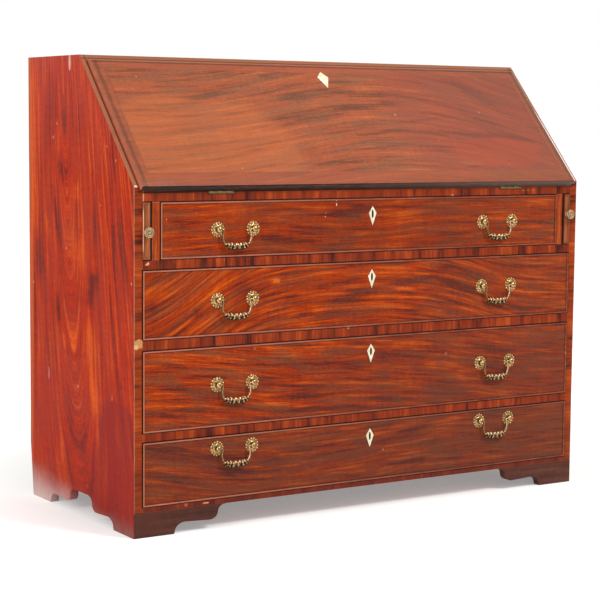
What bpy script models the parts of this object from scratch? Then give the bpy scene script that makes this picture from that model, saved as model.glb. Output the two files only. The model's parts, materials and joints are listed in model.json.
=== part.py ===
"""Slant-front desk of the George III kind, a mahogany bureau with four long drawers.

The case stands on bracket feet. The sloping fall is hinged at the writing bed and comes down on
two lopers that slide out of the case. Behind it are pigeonholes over three small drawers.
Every board, drawer, lock, hinge leaf, escutcheon and handle is an object of its own, in metres.
X runs from left to right, -Y is the front, Z is up, and Z = 0 is the floor.
"""

import math

import bmesh
import bpy
from mathutils import Matrix, Vector

# Sizes of the case
CASE_WIDTH = 1.220
CASE_DEPTH = 0.540
UPPER_HEIGHT = 0.296
SLOPE_ANGLE = math.radians(46.9)
SIDE_THICKNESS = 0.0205
TOP_THICKNESS = 0.019
BACK_THICKNESS = 0.010
BACK_LAP = 0.010
BED_THICKNESS = 0.019
BOTTOM_THICKNESS = 0.0123
DUSTBOARD_THICKNESS = 0.009
RAIL_DEPTH = 0.055
RAIL_1_HEIGHT = 0.0220
RAIL_2_HEIGHT = 0.0235
RAIL_3_HEIGHT = 0.0205
TONGUE = 0.005
TONGUE_SETBACK = 0.020
TONGUE_SHARE = 0.55

# Clearances
TOUCH_GAP = 0.0003
OVERRUN = 0.002
WELD = 0.000001
FLAT_DEGREES = 1
CREASE_DEGREES = 50

# Feet: one scroll template serves the front and the sides
FOOT_HEIGHT = 0.054
FOOT_THICKNESS = 0.0205
GLUE_BLOCK = 0.030
TOE_WIDTH = 0.097
SIDE_APRON = 0.072
TOE_LIFT = 0.003
COVE_WIDTH = 0.026
COVE_TOP = 0.0245
SHELF_DIP = 0.003
SCROLL_WIDTH = 0.041
ARC_STEPS = 5
SKIRTING_CUT = 0.014
SKIRTING_HEIGHT = 0.128
BACK_CHAMFER_SHARE = 0.80
BACK_FOOT_WIDTH = 0.070
BACK_FOOT_FLARE = 0.030
BACK_FOOT_THICKNESS = 0.016
BACK_FOOT_SETBACK = 0.018

# Lapped dovetails, shared by the case top and the long drawers
TAIL_SLOPE_SHARE = 1 / 6
TAIL_SHARE = 0.30
TAIL_SET_IN = 0.0002
CASE_TAIL_PITCH = 0.052
CASE_LAP = 0.006
DRAWER_TAIL_PITCH = 0.040
DRAWER_LAP = 0.005

# Fall
FALL_THICKNESS = 0.019
FALL_LIP = 0.010
FALL_OVERLAP = 0.008
FALL_SIDE_GAP = 0.0006
FALL_TOP_GAP = 0.0006
FALL_STEP = 0.001
THUMBNAIL = 0.007
THUMBNAIL_STEPS = 4
THUMBNAIL_ROUND_SHARE = 0.5

# Hinges of the fall
HINGE_GAP = 0.0004
HINGE_LENGTH = 0.062
HINGE_FROM_END = 0.210
HINGE_LEAF_WIDTH = 0.026
HINGE_LEAF_THICKNESS = 0.0018
BARREL_RADIUS = 0.0032
PIN_RADIUS = 0.0013
KNUCKLE_SHARE = 1 / 3
BARREL_SIDES = 16
LEAF_START = 0.0040
TAB_START = 0.0012

# Lopers
LOPER_THICKNESS = 0.0172
LOPER_SIDE_GAP = 0.0004
LOPER_TOP_GAP = 0.0006
LOPER_BACK_ROOM = 0.070
LOPER_PROUD = 0.002
LOPER_TRAVEL = 0.290
LOPER_BEAD = 0.0022
PARTITION_THICKNESS = 0.0245
PEG_RADIUS = 0.004
PEG_LENGTH = 0.006
PEG_FROM_BACK = 0.035
PEG_PLAY = 0.0005
LEFT_KNOB_RISE = -0.002
RIGHT_KNOB_RISE = 0.012
KNOB_RADIUS = 0.0117
KNOB_LENGTH = 0.0178
KNOB_SIDES = 20
KNOB_PROFILE_SHARES = (
    (0.0, 1.0),
    (0.19, 0.97),
    (0.34, 0.84),
    (0.53, 0.90),
    (0.73, 0.82),
    (0.90, 0.85),
    (1.0, 0.76),
    (1.0, 0.65),
    (0.81, 0.53),
    (0.36, 0.42),
    (0.36, 0.17),
    (0.51, 0.08),
    (0.51, 0.0),
    (0.0, 0.0),
)

# Long drawers, from the top one down
DRAWER_1_HEIGHT = 0.1205
DRAWER_2_HEIGHT = 0.1470
DRAWER_3_HEIGHT = 0.1750
DRAWER_4_HEIGHT = 0.1380
HANDLE_1_DROP = 0.0605
HANDLE_2_DROP = 0.0700
HANDLE_3_DROP = 0.0830
HANDLE_4_DROP = 0.0267
DRAWER_SIDE_GAP = 0.0012
DRAWER_TOP_GAP = 0.0010
DRAWER_BOTTOM_GAP = 0.0008
DRAWER_FRONT = 0.020
DRAWER_SIDE = 0.0095
DRAWER_BACK_GAP = 0.022
BOX_DROP = 0.006
BEAD_WIDTH = 0.003
BEAD_PROUD = 0.0015
PANEL_LOW = 0.005
PANEL_THICKNESS = 0.007
PANEL_HOUSING = 0.003
GROOVE_DEPTH = 0.005
GROOVE_STOP = 0.004
STOP_WIDTH = 0.032
STOP_DEPTH = 0.012
STOP_HEIGHT = 0.003
STOP_SHARE = 0.55

# Bail handles
HANDLE_FROM_END = 0.2473
BAIL_SPAN = 0.089
BAIL_DROP = 0.0400
BAIL_RADIUS = 0.0022
BAIL_PLAY = 0.0004
BAIL_PATH_SHARES = (
    (1.000, 0.0),
    (0.850, 0.0),
    (0.790, -0.02),
    (0.780, -0.08),
    (0.785, -0.17),
    (0.808, -0.27),
    (0.818, -0.37),
    (0.806, -0.50),
    (0.772, -0.64),
    (0.715, -0.755),
    (0.635, -0.84),
    (0.500, -0.90),
    (0.320, -0.955),
    (0.0, -1.00),
)
BAIL_SWELL_SHARES = (0.73, 0.73, 0.86, 0.95, 1.0, 1.0, 1.02, 1.05, 1.10, 1.20, 1.45, 1.95, 2.40, 2.55)
BAIL_RINGS = 1
ROSETTE_RADIUS = 0.0170
ROSETTE_THICKNESS = 0.0022
ROSETTE_LOBE_COUNT = 14
LOBE_STEPS = 2
ROSETTE_LOBE_SHARE = 0.07
POST_OUT = 0.0080
POST_RADIUS = 0.0063
POST_PROFILE_SHARES = (
    (0.0, 1.0),
    (0.67, 0.79),
    (1.0, 0.24),
    (0.92, -0.48),
    (0.63, -0.72),
    (0.71, -0.80),
    (1.51, -0.87),
)
POST_SIDES = 10
BORE_SIDES = 8

# Bone escutcheons
KITE_HEIGHT = 0.0445
KITE_WIDTH = 0.0215
KITE_SHOULDER = 0.0160
KITE_DROP = 0.0173
KITE_THICKNESS = 0.0018
KEYHOLE_WIDTH = 0.0040
KEYHOLE_HEIGHT = 0.0180
KEYHOLE_DROP = 0.0090
FALL_KITE_HEIGHT = 0.0515
FALL_KITE_WIDTH = 0.0310
FALL_KITE_SHOULDER = 0.0170
FALL_KITE_DROP = 0.0190

# Locks
LOCK_WIDTH = 0.056
LOCK_HEIGHT = 0.036
LOCK_DEPTH = 0.0095
LOCK_BOLT_WIDTH = 0.012
LOCK_BOLT_DEPTH = 0.0040
LOCK_BOLT_RISE = 0.0006
DRILL_PIN_RADIUS = 0.0013
DRILL_PIN_LENGTH = 0.005
FALL_LOCK_WIDTH = 0.070
FALL_LOCK_HEIGHT = 0.040
FALL_LOCK_DEPTH = 0.0065
STRIKE_WIDTH = 0.048
STRIKE_DEPTH = 0.014
STRIKE_THICKNESS = 0.0016
STRIKE_SETBACK = 0.004
STRIKE_SLOT_WIDTH = 0.014
STRIKE_SLOT_DEPTH = 0.006

# Pigeonholes and small drawers behind the fall
NEST_WIDTH_SHARE = 0.37339
NEST_BOARD = 0.007
NEST_CLEARANCE = 0.0170
NEST_HOLE_COUNT = 4
VALANCE_DEPTH = 0.006
VALANCE_DROP = 0.022
VALANCE_SHOULDER_SHARE = 0.30
VALANCE_STEPS = 12
SMALL_DRAWER_HEIGHT = 0.062
SMALL_DRAWER_GAP = 0.0008
SMALL_DRAWER_FRONT = 0.010
SMALL_DRAWER_SIDE = 0.005
SMALL_DRAWER_BOTTOM = 0.004
SMALL_DRAWER_BACK_GAP = 0.008
SMALL_DRAWER_BOX_DROP = 0.006
SMALL_BEAD = 0.002
SMALL_BEAD_SUNK = 0.001
SMALL_KNOB_SHARE = 0.60
SMALL_KNOB_SIDES = 12

# Places that follow from the sizes
HALF_WIDTH = CASE_WIDTH / 2
INNER_HALF = HALF_WIDTH - SIDE_THICKNESS
FRONT_REACH = LOPER_PROUD + KNOB_LENGTH
FRONT_Y = (FRONT_REACH - CASE_DEPTH) / 2
INNER_DEPTH = CASE_DEPTH - BACK_THICKNESS - TOUCH_GAP
BOTTOM_TOP = FOOT_HEIGHT + BOTTOM_THICKNESS
FOOT_RUN = (CASE_DEPTH - SKIRTING_CUT - SIDE_APRON) / 2
SHELF_END = FOOT_RUN - SCROLL_WIDTH
LOPER_LENGTH = INNER_DEPTH - LOPER_BACK_ROOM
HANDLE_FROM_CENTRE = HALF_WIDTH - HANDLE_FROM_END
LOPER_SLOT = LOPER_THICKNESS + 2 * LOPER_SIDE_GAP
PARTITION_OUTER = INNER_HALF - LOPER_SLOT
PARTITION_INNER = PARTITION_OUTER - PARTITION_THICKNESS
DRAWER_BACK = CASE_DEPTH - BACK_THICKNESS - DRAWER_BACK_GAP
FALL_REBATE = FALL_THICKNESS - FALL_LIP
SLOPE_COS = math.cos(SLOPE_ANGLE)
SLOPE_SIN = math.sin(SLOPE_ANGLE)


def drawer_bottoms():
    """Bottom edge of each long drawer's front, and the top of each rail, stacked from the floor."""
    bottoms = []
    rail_tops = []
    level = BOTTOM_TOP
    rails_upwards = list(reversed(RAIL_HEIGHTS))
    for index, height in enumerate(reversed(DRAWER_HEIGHTS)):
        bottoms.append(level + DRAWER_BOTTOM_GAP)
        level = bottoms[-1] + height + DRAWER_TOP_GAP
        if index < len(rails_upwards):
            level += rails_upwards[index]
            rail_tops.append(level)
    return bottoms[::-1], rail_tops[::-1], level


DRAWER_HEIGHTS = (DRAWER_1_HEIGHT, DRAWER_2_HEIGHT, DRAWER_3_HEIGHT, DRAWER_4_HEIGHT)
HANDLE_DROPS = (HANDLE_1_DROP, HANDLE_2_DROP, HANDLE_3_DROP, HANDLE_4_DROP)
RAIL_HEIGHTS = (RAIL_1_HEIGHT, RAIL_2_HEIGHT, RAIL_3_HEIGHT)
DRAWER_BOTTOMS, RAIL_TOPS, BED_BOTTOM = drawer_bottoms()
BED_TOP = BED_BOTTOM + BED_THICKNESS
TOTAL_HEIGHT = BED_TOP + UPPER_HEIGHT
SLOPE_START = BED_TOP + (FALL_REBATE - TOUCH_GAP + HINGE_GAP * SLOPE_SIN) / SLOPE_COS
SLOPE_RUN = (TOTAL_HEIGHT - SLOPE_START) * SLOPE_COS / SLOPE_SIN
TOP_UNDERSIDE = TOTAL_HEIGHT - TOP_THICKNESS
FALL_END = (TOP_UNDERSIDE - FALL_TOP_GAP - BED_TOP - FALL_REBATE * SLOPE_COS) / SLOPE_SIN
FALL_LIP_END = FALL_END + FALL_OVERLAP
NEST_HEIGHT = TOP_UNDERSIDE - BED_TOP
NEST_FRONT = NEST_HEIGHT * SLOPE_COS / SLOPE_SIN + NEST_CLEARANCE


def clear_scene():
    for thing in list(bpy.data.objects):
        bpy.data.objects.remove(thing, do_unlink=True)


def make_collection(name, hidden=False):
    made = bpy.data.collections.new(name)
    bpy.context.scene.collection.children.link(made)
    made.hide_render = hidden
    return made


def make_material(name, colour, roughness, metallic=0.0):
    material = bpy.data.materials.new(name)
    material.use_nodes = True
    shader = material.node_tree.nodes["Principled BSDF"]
    shader.inputs["Base Color"].default_value = (*colour, 1.0)
    shader.inputs["Roughness"].default_value = roughness
    shader.inputs["Metallic"].default_value = metallic
    material.diffuse_color = (*colour, 1.0)
    return material


def add_empty(name, parent=None, location=(0, 0, 0), turn_x=0.0):
    """An empty on the axis or slide line that the pieces under it move about."""
    empty = bpy.data.objects.new(name, None)
    PARTS.objects.link(empty)
    empty.parent = parent
    empty.location = location
    empty.rotation_euler = (turn_x, 0, 0)
    return empty


def add_part(name, mesh, parent, materials, location=(0, 0, 0)):
    part = bpy.data.objects.new(name, mesh)
    PARTS.objects.link(part)
    part.parent = parent
    part.location = location
    shade(mesh)
    mesh.name = name
    mesh.materials.clear()
    for material in materials if isinstance(materials, tuple) else (materials,):
        mesh.materials.append(material)
    return part


def add_cutter(name, mesh, parent, location=(0, 0, 0)):
    shade(mesh)
    cutter = bpy.data.objects.new(name, mesh)
    CUTTERS.objects.link(cutter)
    cutter.parent = parent
    cutter.location = location
    cutter.hide_render = True
    cutter.display_type = "WIRE"
    return cutter


def cut(part, mesh, name, parent=None, location=(0, 0, 0), operation="DIFFERENCE"):
    """Takes the mesh's shape from the part, or joins it on with operation UNION."""
    cutter = add_cutter(f"{part.name}_{name}", mesh, parent or part.parent, location)
    modifier = part.modifiers.new(name, "BOOLEAN")
    modifier.operation = operation
    modifier.object = cutter
    return part


def mesh_of(shape, name="shape"):
    mesh = bpy.data.meshes.new(name)
    shape.to_mesh(mesh)
    shape.free()
    return mesh


def add_box(shape, low, high):
    """Adds a box between two corners, in either order, and returns its vertices."""
    size = [abs(b - a) for a, b in zip(low, high)]
    middle = [(a + b) / 2 for a, b in zip(low, high)]
    verts = bmesh.ops.create_cube(shape, size=1)["verts"]
    bmesh.ops.scale(shape, vec=size, verts=verts)
    bmesh.ops.translate(shape, vec=middle, verts=verts)
    return verts


def boxes(*corners):
    """One mesh of separate boxes, each given as its low and high corner."""
    shape = bmesh.new()
    for low, high in corners:
        add_box(shape, low, high)
    return mesh_of(shape)


def placed(*meshes_and_places):
    """One mesh of separate bodies, each a mesh moved by a matrix."""
    shape = bmesh.new()
    for mesh, matrix in meshes_and_places:
        count = len(shape.verts)
        shape.from_mesh(mesh)
        shape.verts.ensure_lookup_table()
        bmesh.ops.transform(shape, matrix=matrix, verts=shape.verts[count:])
    return mesh_of(shape)


def welded(mesh):
    shape = bmesh.new()
    shape.from_mesh(mesh)
    bmesh.ops.remove_doubles(shape, verts=shape.verts, dist=WELD)
    bmesh.ops.recalc_face_normals(shape, faces=shape.faces)
    shape.to_mesh(mesh)
    shape.free()
    return mesh


def baked(thing):
    """The evaluated mesh of an object, welded, with the object removed."""
    bpy.context.view_layer.update()
    graph = bpy.context.evaluated_depsgraph_get()
    mesh = bpy.data.meshes.new_from_object(thing.evaluated_get(graph))
    mesh.transform(thing.matrix_world)
    bpy.data.objects.remove(thing, do_unlink=True)
    return welded(mesh)


# Turns a drawing in the XY plane, extruded along Z, into the plane that the name says
PLANES = {
    "XY": Matrix.Identity(4),
    "YZ": Matrix(((0, 0, 1, 0), (1, 0, 0, 0), (0, 1, 0, 0), (0, 0, 0, 1))),
    "XZ": Matrix.Rotation(math.pi / 2, 4, "X"),
}
OUT_OF_PLANE = {"XY": Vector((0, 0, 1)), "YZ": Vector((1, 0, 0)), "XZ": Vector((0, 1, 0))}


def prism(plane, points, low, high):
    """A flat outline drawn in a plane, thickened from low to high along the third axis."""
    curve = bpy.data.curves.new("outline", "CURVE")
    curve.dimensions = "2D"
    curve.fill_mode = "BOTH"
    curve.extrude = abs(high - low) / 2
    spline = curve.splines.new("POLY")
    spline.points.add(len(points) - 1)
    for point, (across, up) in zip(spline.points, points):
        point.co = (across, up, 0, 1)
    spline.use_cyclic_u = True
    outline = bpy.data.objects.new("outline", curve)
    PARTS.objects.link(outline)
    mesh = baked(outline)
    mesh.transform(PLANES[plane])
    mesh.transform(Matrix.Translation(OUT_OF_PLANE[plane] * (low + high) / 2))
    return welded(mesh)


def turned_part(profile, sides, name="turned", parent=None):
    """A profile of (radius, height) from the top down, turned about Z with a Screw."""
    shape = bmesh.new()
    verts = [shape.verts.new((radius, 0, height)) for radius, height in profile]
    for upper, lower in zip(verts, verts[1:]):
        shape.edges.new((upper, lower))
    turned = bpy.data.objects.new(name, mesh_of(shape))
    PARTS.objects.link(turned)
    turned.parent = parent
    screw = turned.modifiers.new("turn", "SCREW")
    screw.steps = sides
    screw.render_steps = sides
    screw.use_merge_vertices = True
    screw.merge_threshold = WELD
    screw.use_normal_calculate = True
    return turned


def cylinder(radius, start, end, sides, axis="X"):
    """A cylinder about a coordinate axis, from start to end along it."""
    shape = bmesh.new()
    bmesh.ops.create_cone(
        shape,
        cap_ends=True,
        segments=sides,
        radius1=radius,
        radius2=radius,
        depth=abs(end - start),
    )
    mesh = mesh_of(shape)
    turn = {"X": Matrix.Rotation(math.pi / 2, 4, "Y"), "Y": Matrix.Rotation(math.pi / 2, 4, "X")}
    mesh.transform(turn.get(axis, Matrix.Identity(4)))
    middle = Vector([(start + end) / 2 if letter == axis else 0 for letter in "XYZ"])
    mesh.transform(Matrix.Translation(middle))
    return mesh


def shade(mesh):
    """Shades round only the faces that meet a neighbour at a shallow angle, so boards stay flat."""
    crease = math.radians(CREASE_DEGREES)
    shape = bmesh.new()
    shape.from_mesh(mesh)
    for edge in shape.edges:
        edge.smooth = edge.calc_face_angle(math.pi) < crease
    for face in shape.faces:
        angles = [edge.calc_face_angle(math.pi) for edge in face.edges]
        face.smooth = any(math.radians(FLAT_DEGREES) < angle < crease for angle in angles)
    shape.to_mesh(mesh)
    shape.free()


def arc(centre, radii, start, end):
    """Points on an ellipse from one angle to another, both in degrees and both included."""
    turns = [math.radians(start + (end - start) * step / ARC_STEPS) for step in range(ARC_STEPS + 1)]
    return [
        (centre[0] + radii[0] * math.cos(turn), centre[1] + radii[1] * math.sin(turn))
        for turn in turns
    ]


def foot_scroll():
    """The scrolled lower edge from the toe to the apron, as distance from the corner and height."""
    cove_start = TOE_WIDTH + TOE_LIFT / 2
    cove_end = cove_start + COVE_WIDTH
    scroll_rise = (FOOT_HEIGHT - COVE_TOP + SHELF_DIP) / 2
    scroll_middle = COVE_TOP - SHELF_DIP + scroll_rise
    half = SCROLL_WIDTH / 2
    cove = arc((cove_end, TOE_LIFT), (-COVE_WIDTH, COVE_TOP - TOE_LIFT), 0, 90)
    lobe = arc((SHELF_END, scroll_middle), (half, scroll_rise), -90, 0)
    hollow = arc((SHELF_END + SCROLL_WIDTH, scroll_middle), (-half, scroll_rise), 0, 90)
    return [(TOE_WIDTH, 0)] + cove + lobe + hollow[1:]


def tail_centres(low, high, pitch):
    count = max(2, round((high - low) / pitch))
    step = (high - low) / count
    return [low + step * (index + 0.5) for index in range(count)], step


def tail_outline(centre, step, root, tip, reach, grow=0.0):
    """A dovetail's four corners as (along the tail, across it). It widens from root to tip."""
    direction = 1 if tip > root else -1
    length = abs(tip - root)
    half_root = step * TAIL_SHARE + grow
    start_half = half_root - reach * TAIL_SLOPE_SHARE
    end_half = half_root + (length + grow) * TAIL_SLOPE_SHARE
    start = root - direction * reach
    end = tip + direction * grow
    return [
        (start, centre - start_half),
        (end, centre - end_half),
        (end, centre + end_half),
        (start, centre + start_half),
    ]


def housing_levels(low, high):
    """Heights of the tongue on the end of a board that lies between low and high."""
    margin = (high - low) * (1 - TONGUE_SHARE) / 2
    return low + margin, high - margin


def side_board(side):
    """A side, with its foot scrolls, sloped edge, back rebate, housings and top sockets."""
    scroll = foot_scroll()
    back_scroll = [(CASE_DEPTH - SKIRTING_CUT - away, height) for away, height in scroll]
    outline = (
        [(0, 0), (0, SLOPE_START), (SLOPE_RUN, TOTAL_HEIGHT), (CASE_DEPTH, TOTAL_HEIGHT)]
        + [(CASE_DEPTH, SKIRTING_HEIGHT), (CASE_DEPTH - SKIRTING_CUT, 0)]
        + back_scroll
        + scroll[::-1]
    )
    name = "side_left" if side < 0 else "side_right"
    mesh = prism("YZ", outline, side * INNER_HALF, side * HALF_WIDTH)
    board = add_part(name, mesh, CASE, MAHOGANY_SIDE)

    rebate_low = (side * (INNER_HALF - OVERRUN), INNER_DEPTH, FOOT_HEIGHT - TOUCH_GAP)
    rebate_high = (
        side * (INNER_HALF + BACK_LAP + TOUCH_GAP),
        CASE_DEPTH + OVERRUN,
        TOP_UNDERSIDE,
    )
    cut(board, boxes((rebate_low, rebate_high)), "rebate")

    housings = []
    for low, high in housed_levels():
        tongue_low, tongue_high = housing_levels(low, high)
        housings.append(
            (
                (side * (INNER_HALF - OVERRUN), TONGUE_SETBACK - TOUCH_GAP, tongue_low - TOUCH_GAP),
                (side * (INNER_HALF + TONGUE), INNER_DEPTH - TOUCH_GAP, tongue_high + TOUCH_GAP),
            )
        )
    cut(board, boxes(*housings), "housings")

    sockets = [
        (prism("XY", outline, TOP_UNDERSIDE - TOUCH_GAP, TOTAL_HEIGHT + OVERRUN), Matrix.Identity(4))
        for outline in case_tail_outlines(side, TOUCH_GAP)
    ]
    cut(board, placed(*sockets), "sockets")

    offset = TOUCH_GAP * math.sqrt(2)
    before = -OVERRUN * FOOT_THICKNESS / SIDE_THICKNESS + offset
    beyond = FOOT_THICKNESS * (1 + OVERRUN / SIDE_THICKNESS) + offset
    mitre = [
        (side * (HALF_WIDTH + OVERRUN), before),
        (side * (INNER_HALF - OVERRUN), beyond),
        (side * (INNER_HALF - OVERRUN), before - OVERRUN),
        (side * (HALF_WIDTH + OVERRUN), before - OVERRUN),
    ]
    cut(board, prism("XY", mitre, -OVERRUN, FOOT_HEIGHT), "mitre")
    return board


def case_tail_outlines(side, grow=0.0):
    """Tails on one end of the top board, drawn in plan."""
    low = SLOPE_RUN + TOP_THICKNESS / 2
    centres, step = tail_centres(low, INNER_DEPTH, CASE_TAIL_PITCH)
    root = INNER_HALF
    tip = HALF_WIDTH - CASE_LAP
    outlines = []
    for centre in centres:
        drawn = tail_outline(centre, step, root, tip, OVERRUN, grow)
        outlines.append([(side * across, along) for across, along in drawn])
    return outlines


def top_board():
    """The top, bevelled in front to the slope of the fall and dovetailed down into the sides."""
    bevel_run = TOP_THICKNESS * SLOPE_COS / SLOPE_SIN
    outline = [
        (SLOPE_RUN - bevel_run, TOP_UNDERSIDE),
        (CASE_DEPTH, TOP_UNDERSIDE),
        (CASE_DEPTH, TOTAL_HEIGHT),
        (SLOPE_RUN, TOTAL_HEIGHT),
    ]
    half = INNER_HALF - TOUCH_GAP
    board = add_part("top_board", prism("YZ", outline, -half, half), CASE, MAHOGANY)
    low = TOP_UNDERSIDE + TAIL_SET_IN
    high = TOTAL_HEIGHT - TAIL_SET_IN
    tails = [
        (prism("XY", drawn, low, high), Matrix.Identity(4))
        for side in (-1, 1)
        for drawn in case_tail_outlines(side)
    ]
    cut(board, placed(*tails), "tails", operation="UNION")
    recess = strike_corners(TOUCH_GAP)
    cut(board, boxes(recess), "strike_recess")
    return board


def strike_corners(grow=0.0):
    """The plate in the underside of the top that takes the bolt of the fall's lock."""
    front = SLOPE_RUN - TOP_THICKNESS * SLOPE_COS / SLOPE_SIN + STRIKE_SETBACK
    half = STRIKE_WIDTH / 2
    return (
        (-half - grow, front - grow, TOP_UNDERSIDE - grow * 2),
        (half + grow, front + STRIKE_DEPTH + grow, TOP_UNDERSIDE + STRIKE_THICKNESS + grow),
    )


def strike_plate():
    low, high = strike_corners()
    plate = add_part("fall_lock_strike", boxes((low, high)), CASE, BRASS)
    middle = (low[1] + high[1]) / 2
    half = STRIKE_SLOT_WIDTH / 2
    slot = (
        (-half, middle - STRIKE_SLOT_DEPTH / 2, low[2] - OVERRUN),
        (half, middle + STRIKE_SLOT_DEPTH / 2, high[2] + OVERRUN),
    )
    return cut(plate, boxes(slot), "bolt_slot")


def housed_levels():
    """Low and high face of each board that is housed in the sides."""
    levels = [(FOOT_HEIGHT, BOTTOM_TOP), (BED_BOTTOM, BED_TOP)]
    levels += [(top - DUSTBOARD_THICKNESS, top) for top in RAIL_TOPS]
    return levels


def housed_board(name, outline, low, high, material):
    """A board across the case, its ends cut back so that only a tongue enters each side."""
    half = INNER_HALF + TONGUE - TOUCH_GAP
    board = add_part(name, prism("YZ", outline, -half, half), CASE, material)
    tongue_low, tongue_high = housing_levels(low, high)
    bottom = min(height for _, height in outline)
    top = max(height for _, height in outline)
    behind = INNER_DEPTH + OVERRUN
    shoulder = [
        (-OVERRUN, bottom - OVERRUN),
        (behind, bottom - OVERRUN),
        (behind, tongue_low),
        (TONGUE_SETBACK, tongue_low),
        (TONGUE_SETBACK, tongue_high),
        (behind, tongue_high),
        (behind, top + OVERRUN),
        (-OVERRUN, top + OVERRUN),
    ]
    for side in (-1, 1):
        inner = side * (INNER_HALF - TOUCH_GAP)
        outer = side * (INNER_HALF + TONGUE + OVERRUN)
        cut(board, prism("YZ", shoulder, inner, outer), f"shoulder_{'left' if side < 0 else 'right'}")
    return board


def add_stops(board, top, half_span):
    """Two stop blocks behind the front rail, which the drawer's front comes home against."""
    front = DRAWER_FRONT + TOUCH_GAP
    blocks = []
    for side in (-1, 1):
        middle = side * half_span * STOP_SHARE
        blocks.append(
            (
                (middle - STOP_WIDTH / 2, front, top - OVERRUN),
                (middle + STOP_WIDTH / 2, front + STOP_DEPTH, top + STOP_HEIGHT),
            )
        )
    return cut(board, boxes(*blocks), "stops", operation="UNION")


def case_boards():
    for side in (-1, 1):
        side_board(side)
    top_board()
    strike_plate()

    half = INNER_HALF + BACK_LAP
    cut_share = max(0, 1 - FOOT_HEIGHT / SKIRTING_HEIGHT)
    chamfer = min(SKIRTING_CUT * cut_share, BACK_THICKNESS * BACK_CHAMFER_SHARE)
    panel = [
        (CASE_DEPTH - BACK_THICKNESS, FOOT_HEIGHT),
        (CASE_DEPTH - chamfer, FOOT_HEIGHT),
        (CASE_DEPTH, max(SKIRTING_HEIGHT, FOOT_HEIGHT + chamfer)),
        (CASE_DEPTH, TOP_UNDERSIDE - TOUCH_GAP),
        (CASE_DEPTH - BACK_THICKNESS, TOP_UNDERSIDE - TOUCH_GAP),
    ]
    add_part("back_panel", prism("YZ", panel, -half, half), CASE, PINE)

    back = INNER_DEPTH - TOUCH_GAP
    bottom_outline = [(0, FOOT_HEIGHT), (back, FOOT_HEIGHT), (back, BOTTOM_TOP), (0, BOTTOM_TOP)]
    bottom = housed_board("bottom_board", bottom_outline, FOOT_HEIGHT, BOTTOM_TOP, MAHOGANY)
    add_stops(bottom, BOTTOM_TOP, INNER_HALF)

    for number, (top, height) in enumerate(zip(RAIL_TOPS, RAIL_HEIGHTS), start=1):
        panel_low = top - DUSTBOARD_THICKNESS
        outline = [
            (0, top - height),
            (RAIL_DEPTH, top - height),
            (RAIL_DEPTH, panel_low),
            (back, panel_low),
            (back, top),
            (0, top),
        ]
        rail = housed_board(f"drawer_rail_{number}", outline, panel_low, top, CROSSBAND)
        add_stops(rail, top, PARTITION_INNER if number == 1 else INNER_HALF)

    bed_outline = [(0, BED_BOTTOM), (back, BED_BOTTOM), (back, BED_TOP), (0, BED_TOP)]
    bed = housed_board("writing_bed", bed_outline, BED_BOTTOM, BED_TOP, MAHOGANY)
    for side in (-1, 1):
        middle = (side * (HALF_WIDTH - HINGE_FROM_END), -HINGE_GAP, BED_TOP)
        cut(bed, hinge_mortise(-1), f"hinge_{'left' if side < 0 else 'right'}", location=middle)


def loper_partition(side):
    """The upright between a loper and the top drawer, grooved for the loper's stop peg."""
    name = f"loper_partition_{'left' if side < 0 else 'right'}"
    low = (side * PARTITION_INNER, 0, RAIL_TOPS[0] + TOUCH_GAP)
    high = (side * PARTITION_OUTER, INNER_DEPTH - TOUCH_GAP, BED_BOTTOM - TOUCH_GAP)
    partition = add_part(name, boxes((low, high)), CASE, MAHOGANY)
    peg_y = LOPER_LENGTH - PEG_FROM_BACK
    middle = (RAIL_TOPS[0] + BED_BOTTOM) / 2
    half = PEG_RADIUS + PEG_PLAY
    groove = (
        (side * (PARTITION_OUTER + OVERRUN), peg_y - LOPER_TRAVEL - half, middle - half),
        (side * (PARTITION_OUTER - PEG_LENGTH - PEG_PLAY), peg_y + half, middle + half),
    )
    return cut(partition, boxes(groove), "groove")


def beaded_board(low, high, bead, sunk):
    """A board whose front face is sunk inside a raised bead that runs round its edge."""
    shape = bmesh.new()
    add_box(shape, low, high)
    shape.faces.ensure_lookup_table()
    front = min(shape.faces, key=lambda face: face.calc_center_median().y)
    bmesh.ops.inset_region(shape, faces=[front], thickness=bead, depth=0, use_even_offset=True)
    made = bmesh.ops.extrude_face_region(shape, geom=[front])
    moved = [item for item in made["geom"] if isinstance(item, bmesh.types.BMVert)]
    bmesh.ops.translate(shape, vec=(0, sunk, 0), verts=moved)
    bmesh.ops.delete(shape, geom=[front], context="FACES_ONLY")
    return welded(mesh_of(shape))


def turned_knob(name, slide, place, sides, size_share=1.0):
    """A brass knob that stands out from a front face, with rings turned round its middle."""
    radius = KNOB_RADIUS * size_share
    length = KNOB_LENGTH * size_share
    profile = [(across * radius, out * length) for across, out in KNOB_PROFILE_SHARES]
    knob = turned_part(profile, sides, name, slide)
    knob.location = place
    knob.rotation_euler = (math.pi / 2, 0, 0)
    knob.data.materials.append(BRASS)


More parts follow.
